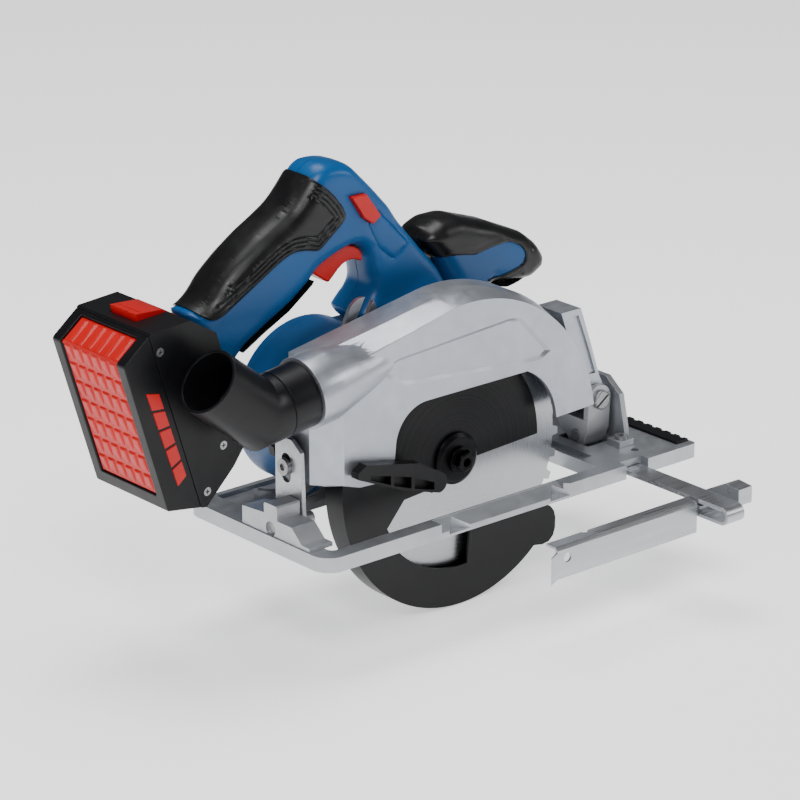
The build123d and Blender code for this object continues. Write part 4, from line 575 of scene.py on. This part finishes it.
def swell(d, radius, upright):
    """Half width of a handle at this distance from its outline; its rim keeps the upright share."""
    return HALF_WIDTH * (upright + (1 - upright) * crown(d, radius))


def leg_bulge(points):
    """How far the housing's lower leg swells beyond its flat sides, below the fold line."""
    beyond = np.linalg.norm(points - np.array(LEG_CENTRE), axis=1) - LEG_RADIUS
    lower = np.clip((128 - points[:, 1]) / 8, 0, 1)
    return 1.1 * np.clip(beyond / 1.6, 0, 1) * lower


def handle_housing(outline):
    """Both blue shells as one rounded form with a seam, the button's hole and a cover's outline."""
    button = even_loop(loop_near("handle_shell_right", BUTTON_NEAR), OUTLINE_STEP)
    cover = even_loop(COVER, 1.5, 2)
    points, faces = tile(outline, (button, cover))
    faces = faces[~inside(points[faces].mean(1), button)]
    d = distance(points, outline)
    rear = np.clip((-60 - points[:, 0]) / 30, 0, 1)
    half = swell(d, 7.5 + 4.5 * rear, 0.12)
    half = half - 0.8 * trough(distance(points, cover), 0, 0.45) * (d > 1.0)
    half = half + leg_bulge(points) * np.clip(d / 6, 0, 1)
    mesh = solid_form("handle_housing", points, faces, SPLIT_Y - half, SPLIT_Y + half, SPLIT_Y)
    place("handle_housing", mesh, "handle_shell_right", "handle_shell_left")


def grip_rubber(outline):
    """The rear grip, which follows the housing a little proud of it, with grooves along its lower edge."""
    grip = even_loop(GRIP_LOWER + GRIP_UPPER, OUTLINE_STEP, 3)
    beside = (0.35, 0.9, *(step + shift for step in GROOVE_STEPS for shift in (-0.6, 0, 0.6)))
    points, faces = tile(outline, (grip,), 2.6, beside=beside)
    d = distance(points, outline)
    border = distance(points, grip)
    raised = 1.9 * crown(np.where(d < 2.2, 2.2, np.minimum(border, 2.2)), 2.0) + 0.15
    beside_lower = 2.5 - np.abs(distance(points, open_line(GRIP_LOWER, 1.0)) - border)
    clear = np.clip((d - 3.5) / 2, 0, 1) * np.clip(beside_lower, 0, 1)
    for step in GROOVE_STEPS:
        raised = raised - 0.6 * trough(border, step, 0.42) * clear
    half = swell(d, 12.0, 0.12) + raised
    chosen = faces[inside(points[faces].mean(1), grip)]
    outer = outline_offset(points, outline, 1.0)
    mesh = solid_form("grip_rubber", outer, chosen, SPLIT_Y - half, SPLIT_Y + half)
    place("grip_rubber", mesh, "rear_grip")


FRONT_TOP = [(85, 105.6), (95.6, 111.4), (96.6, 119), (90.6, 127.7), (80.8, 135.6), (53.9, 147.6),
             (27, 156.6), (13, 156.6), (3.2, 152.7), (-2, 146)]
FRONT_BOTTOM = [(1.2, 143.5), (12.2, 131), (21, 114.6), (21, 103), (46, 103), (54, 109.4), (64, 107.6)]
FRONT_EDGE = [(-0.6, 142), (8, 134), (20, 135), (37, 132), (49, 134), (63, 135), (72, 131), (77, 126),
              (77, 121), (74, 118), (59, 114), (46, 114), (54, 108), (64, 105)]


def front_handle():
    """The front handle's blue core and the rubber over its top and sides."""
    outline = even_loop(FRONT_TOP + FRONT_BOTTOM, OUTLINE_STEP, 4)
    core = even_loop(face_loops("front_handle_core", far=True)[0], OUTLINE_STEP, 2)
    points, faces = tile(core)
    half = swell(distance(points, outline), 11.0, 0.14)
    mesh = solid_form("front_core", points, faces, SPLIT_Y - half, SPLIT_Y + half, SPLIT_Y)
    place("front_core", mesh, "front_handle_core")

    points, faces = tile(even_loop(FRONT_TOP + FRONT_EDGE, 1.4, 3), (), 2.6)
    d = distance(points, outline)
    border = distance(points, open_line(FRONT_EDGE, 1.4))
    raised = 1.0 * crown(border, 1.8) + 0.1
    clear = np.clip((d - 3) / 2, 0, 1)
    for step in GROOVE_STEPS[:2]:
        raised = raised - 0.5 * trough(border, step, 0.5) * clear
    half = swell(d, 11.0, 0.14) + raised
    mesh = solid_form("front_rubber", points, faces, SPLIT_Y - half, SPLIT_Y + half)
    place("front_rubber", mesh, "front_handle_grip")


# ------------------------------------------------------------------ battery
PANEL_CREST, PANEL_TOP, PANEL_FOOT = (-221.0, 139.6), (-235.8, 128.0), (-210.4, 44.1)
PANEL_LOW, PANEL_HIGH = 6.0, 58.0      # sides of the rear panel, along Y
PAD_COLUMNS, PAD_ROWS = 6, 7
RIB = 1.7                              # gap between pads
STRIPE_OUTER = (-222, 110), (-201, 49)
STRIPE_INNER = (-213, 108), (-195, 54)
STRIPE_BLOCKS = 5
BLOCK_FACES = ((0, 1, 2, 3), (7, 6, 5, 4), (0, 4, 5, 1), (1, 5, 6, 2), (2, 6, 7, 3), (3, 7, 4, 0))


def add_block(form, corners):
    """Add a closed block, in mm: four corners of its base, then the four over them."""
    made = [form.verts.new([c * MM for c in corner]) for corner in corners]
    for face in BLOCK_FACES:
        form.faces.new([made[i] for i in face])


def add_pad(form, face, across, along, low, high, ease):
    """A block on a sloping face, its top drawn in by ease and running from high[0] to high[1]."""
    start, down, out = face
    corners = []
    for depths, inset in (((low, low), 0), (high, ease)):
        y0, y1 = across[0] + inset, across[1] - inset
        v0, v1 = along[0] + inset, along[1] - inset
        rim = ((y0, v0, depths[0]), (y1, v0, depths[0]), (y1, v1, depths[1]), (y0, v1, depths[1]))
        for y, v, depth in rim:
            x, z = start + down * v + out * depth
            corners.append((x, y, z))
    add_block(form, corners)


def rounded_mesh(name, form, rounding):
    """The form as a mesh, its edges rounded by this much, in mm."""
    mesh = bpy.data.meshes.new(name)
    bmesh.ops.recalc_face_normals(form, faces=form.faces)
    bmesh.ops.bevel(form, geom=list(form.edges), offset=rounding * MM, segments=2, affect="EDGES",
                    clamp_overlap=True)
    form.to_mesh(mesh)
    form.free()
    return mesh


def battery_panel():
    """Rear panel of the battery: two plates with wedge-shaped pads between ribs."""
    form = bmesh.new()
    pitch = (PANEL_HIGH - PANEL_LOW - RIB) / PAD_COLUMNS
    for start, end, rows in ((PANEL_TOP, PANEL_FOOT, PAD_ROWS), (PANEL_CREST, PANEL_TOP, 1)):
        start, end = np.array(start), np.array(end)
        length = np.linalg.norm(end - start)
        down = (end - start) / length
        face = (start, down, np.array([down[1], -down[0]]))
        add_pad(form, face, (PANEL_LOW, PANEL_HIGH), (0, length), -1.9, (-1.2, -1.2), 0.3)
        row_pitch = (length - 1.0) / rows
        for column in range(PAD_COLUMNS):
            y = PANEL_LOW + RIB + column * pitch
            for row in range(rows):
                v = 1.0 + row * row_pitch
                across, along = (y, y + pitch - RIB), (v, v + row_pitch - RIB)
                add_pad(form, face, across, along, -1.4, (-0.05, -0.7), 1.1)
    place("battery_pads", rounded_mesh("battery_pads", form, 0.3), "battery_panel", angle=40)


def between(ends, t):
    """Point at this share of the way from the first end to the second."""
    return tuple(a + (b - a) * t for a, b in zip(*ends))


def battery_stripe():
    """Raised red strip on the near side of the battery, cut by short grooves."""
    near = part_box("battery_tub")[0].y / MM
    form = bmesh.new()
    for block in range(STRIPE_BLOCKS):
        a = block / STRIPE_BLOCKS + 0.012
        b = (block + 1) / STRIPE_BLOCKS - 0.012
        rim = [between(STRIPE_OUTER, a), between(STRIPE_OUTER, b)]
        rim += [between(STRIPE_INNER, b), between(STRIPE_INNER, a)]
        add_block(form, [(x, y, z) for y in (near + 0.4, near - 0.5) for x, z in rim])
    mesh = rounded_mesh("battery_stripe", form, 0.25)
    piece = make_object("battery_stripe", mesh, MATERIALS["red_plastic"])
    smooth(mesh, 40)
    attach(piece, NODES["battery_tub"]["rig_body"])


# ------------------------------------------------------------------ every piece in its place
ROUNDING = {                           # edge radius of each rounded node, in mm
    "base_plate": 0.7, "cut_line_scale": 0.3, "bevel_block": 0.8, "bevel_quadrant": 0.5,
    "parallel_guide": 0.35, "guide_fence": 0.3, "guide_clamp_screw": 0.8, "front_bracket": 0.8,
    "bevel_lock_screw": 0.8, "depth_guide": 0.3, "upper_guard": 1.2, "lower_guard": 0.4,
    "guard_lever": 1.4, "dust_collar": 0.5, "dust_elbow": 0.5, "gear_case": 0.8, "hinge_arm": 1.2,
    "motor_housing": 1.2, "motor_end_cap": 1.5, "grip_underside": 0.5, "trigger": 1.2,
    "lock_off_button": 0.6, "depth_lever": 1.2, "battery_tub": 1.6, "battery_lid": 1.2,
    "battery_latch": 0.6, "blade_bolt": 0.4, "outer_flange": 0.3,
}

housing_outline = even_loop(face_loops("handle_shell_right")[0], OUTLINE_STEP, 9)
handle_housing(housing_outline)
grip_rubber(housing_outline)
front_handle()
battery_panel()
battery_stripe()
for cad_node, width in ROUNDING.items():
    rounded_copy(cad_node, width)
for name, node in NODES.items():
    if not node.hide_render:
        node.data.materials.clear()
        node.data.materials.append(MATERIALS[SLOT_OF[name]])
        smooth(node.data)


# ------------------------------------------------------------------ studio
LIGHTS = (                             # name, place, width, power in watts
    ("key", (-1.2, -1.6, 1.9), 0.8, 34),
    ("top", (0.1, 0.3, 2.4), 1.5, 52),
    ("fill", (1.9, -1.5, 1.0), 0.8, 14),
    ("side", (-2.2, 0.4, 1.0), 0.6, 18),
)


def studio():
    """A plain pale floor under soft lamps."""
    floor_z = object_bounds()[0].z - 0.0005
    bpy.ops.mesh.primitive_plane_add(size=14, location=(0, 0, floor_z))
    floor = bpy.context.object
    floor.name = "floor"
    paper = Shader("paper", (0.97, 0.97, 0.97), 0.7, specular=0.1)
    paper.grain(300, 0.03, 0.0002)
    paper.bsdf.inputs["Emission Color"].default_value = (1, 1, 1, 1)
    paper.bsdf.inputs["Emission Strength"].default_value = 0.7
    floor.data.materials.append(paper.material)
    floor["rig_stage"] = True
    world = bpy.data.worlds.new("studio")
    bpy.context.scene.world = world
    world.use_nodes = True
    world.node_tree.nodes["Background"].inputs["Color"].default_value = (0.95, 0.97, 1.0, 1)
    world.node_tree.nodes["Background"].inputs["Strength"].default_value = 0.12
    for name, place_at, size, power in LIGHTS:
        data = bpy.data.lights.new(name, "AREA")
        data.size = size
        data.energy = power
        lamp = bpy.data.objects.new(name, data)
        bpy.context.scene.collection.objects.link(lamp)
        lamp.location = place_at
        lamp.rotation_mode = "QUATERNION"
        lamp.rotation_quaternion = (Vector((0, 0, 0.08)) - Vector(place_at)).to_track_quat("-Z", "Y")
        lamp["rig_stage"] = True


CAMERA_PLACE = (-1.3490, -1.5346, 0.7923)
CAMERA_AZIMUTH, CAMERA_ELEVATION = -40.55, 19.89       # degrees


def camera():
    """A long lens that looks down at the blade side from the rear."""
    data = bpy.data.cameras.new("camera")
    data.sensor_width = 36
    data.lens = 165
    data.clip_start = 0.05
    data.clip_end = 50
    made = bpy.data.objects.new("camera", data)
    bpy.context.scene.collection.objects.link(made)
    made.location = CAMERA_PLACE
    azimuth = math.radians(CAMERA_AZIMUTH)
    elevation = math.radians(CAMERA_ELEVATION)
    back = Vector((math.sin(azimuth) * math.cos(elevation), -math.cos(azimuth) * math.cos(elevation),
                   math.sin(elevation)))
    made.rotation_mode = "QUATERNION"
    made.rotation_quaternion = (-back).to_track_quat("-Z", "Y")
    bpy.context.scene.camera = made


studio()
camera()
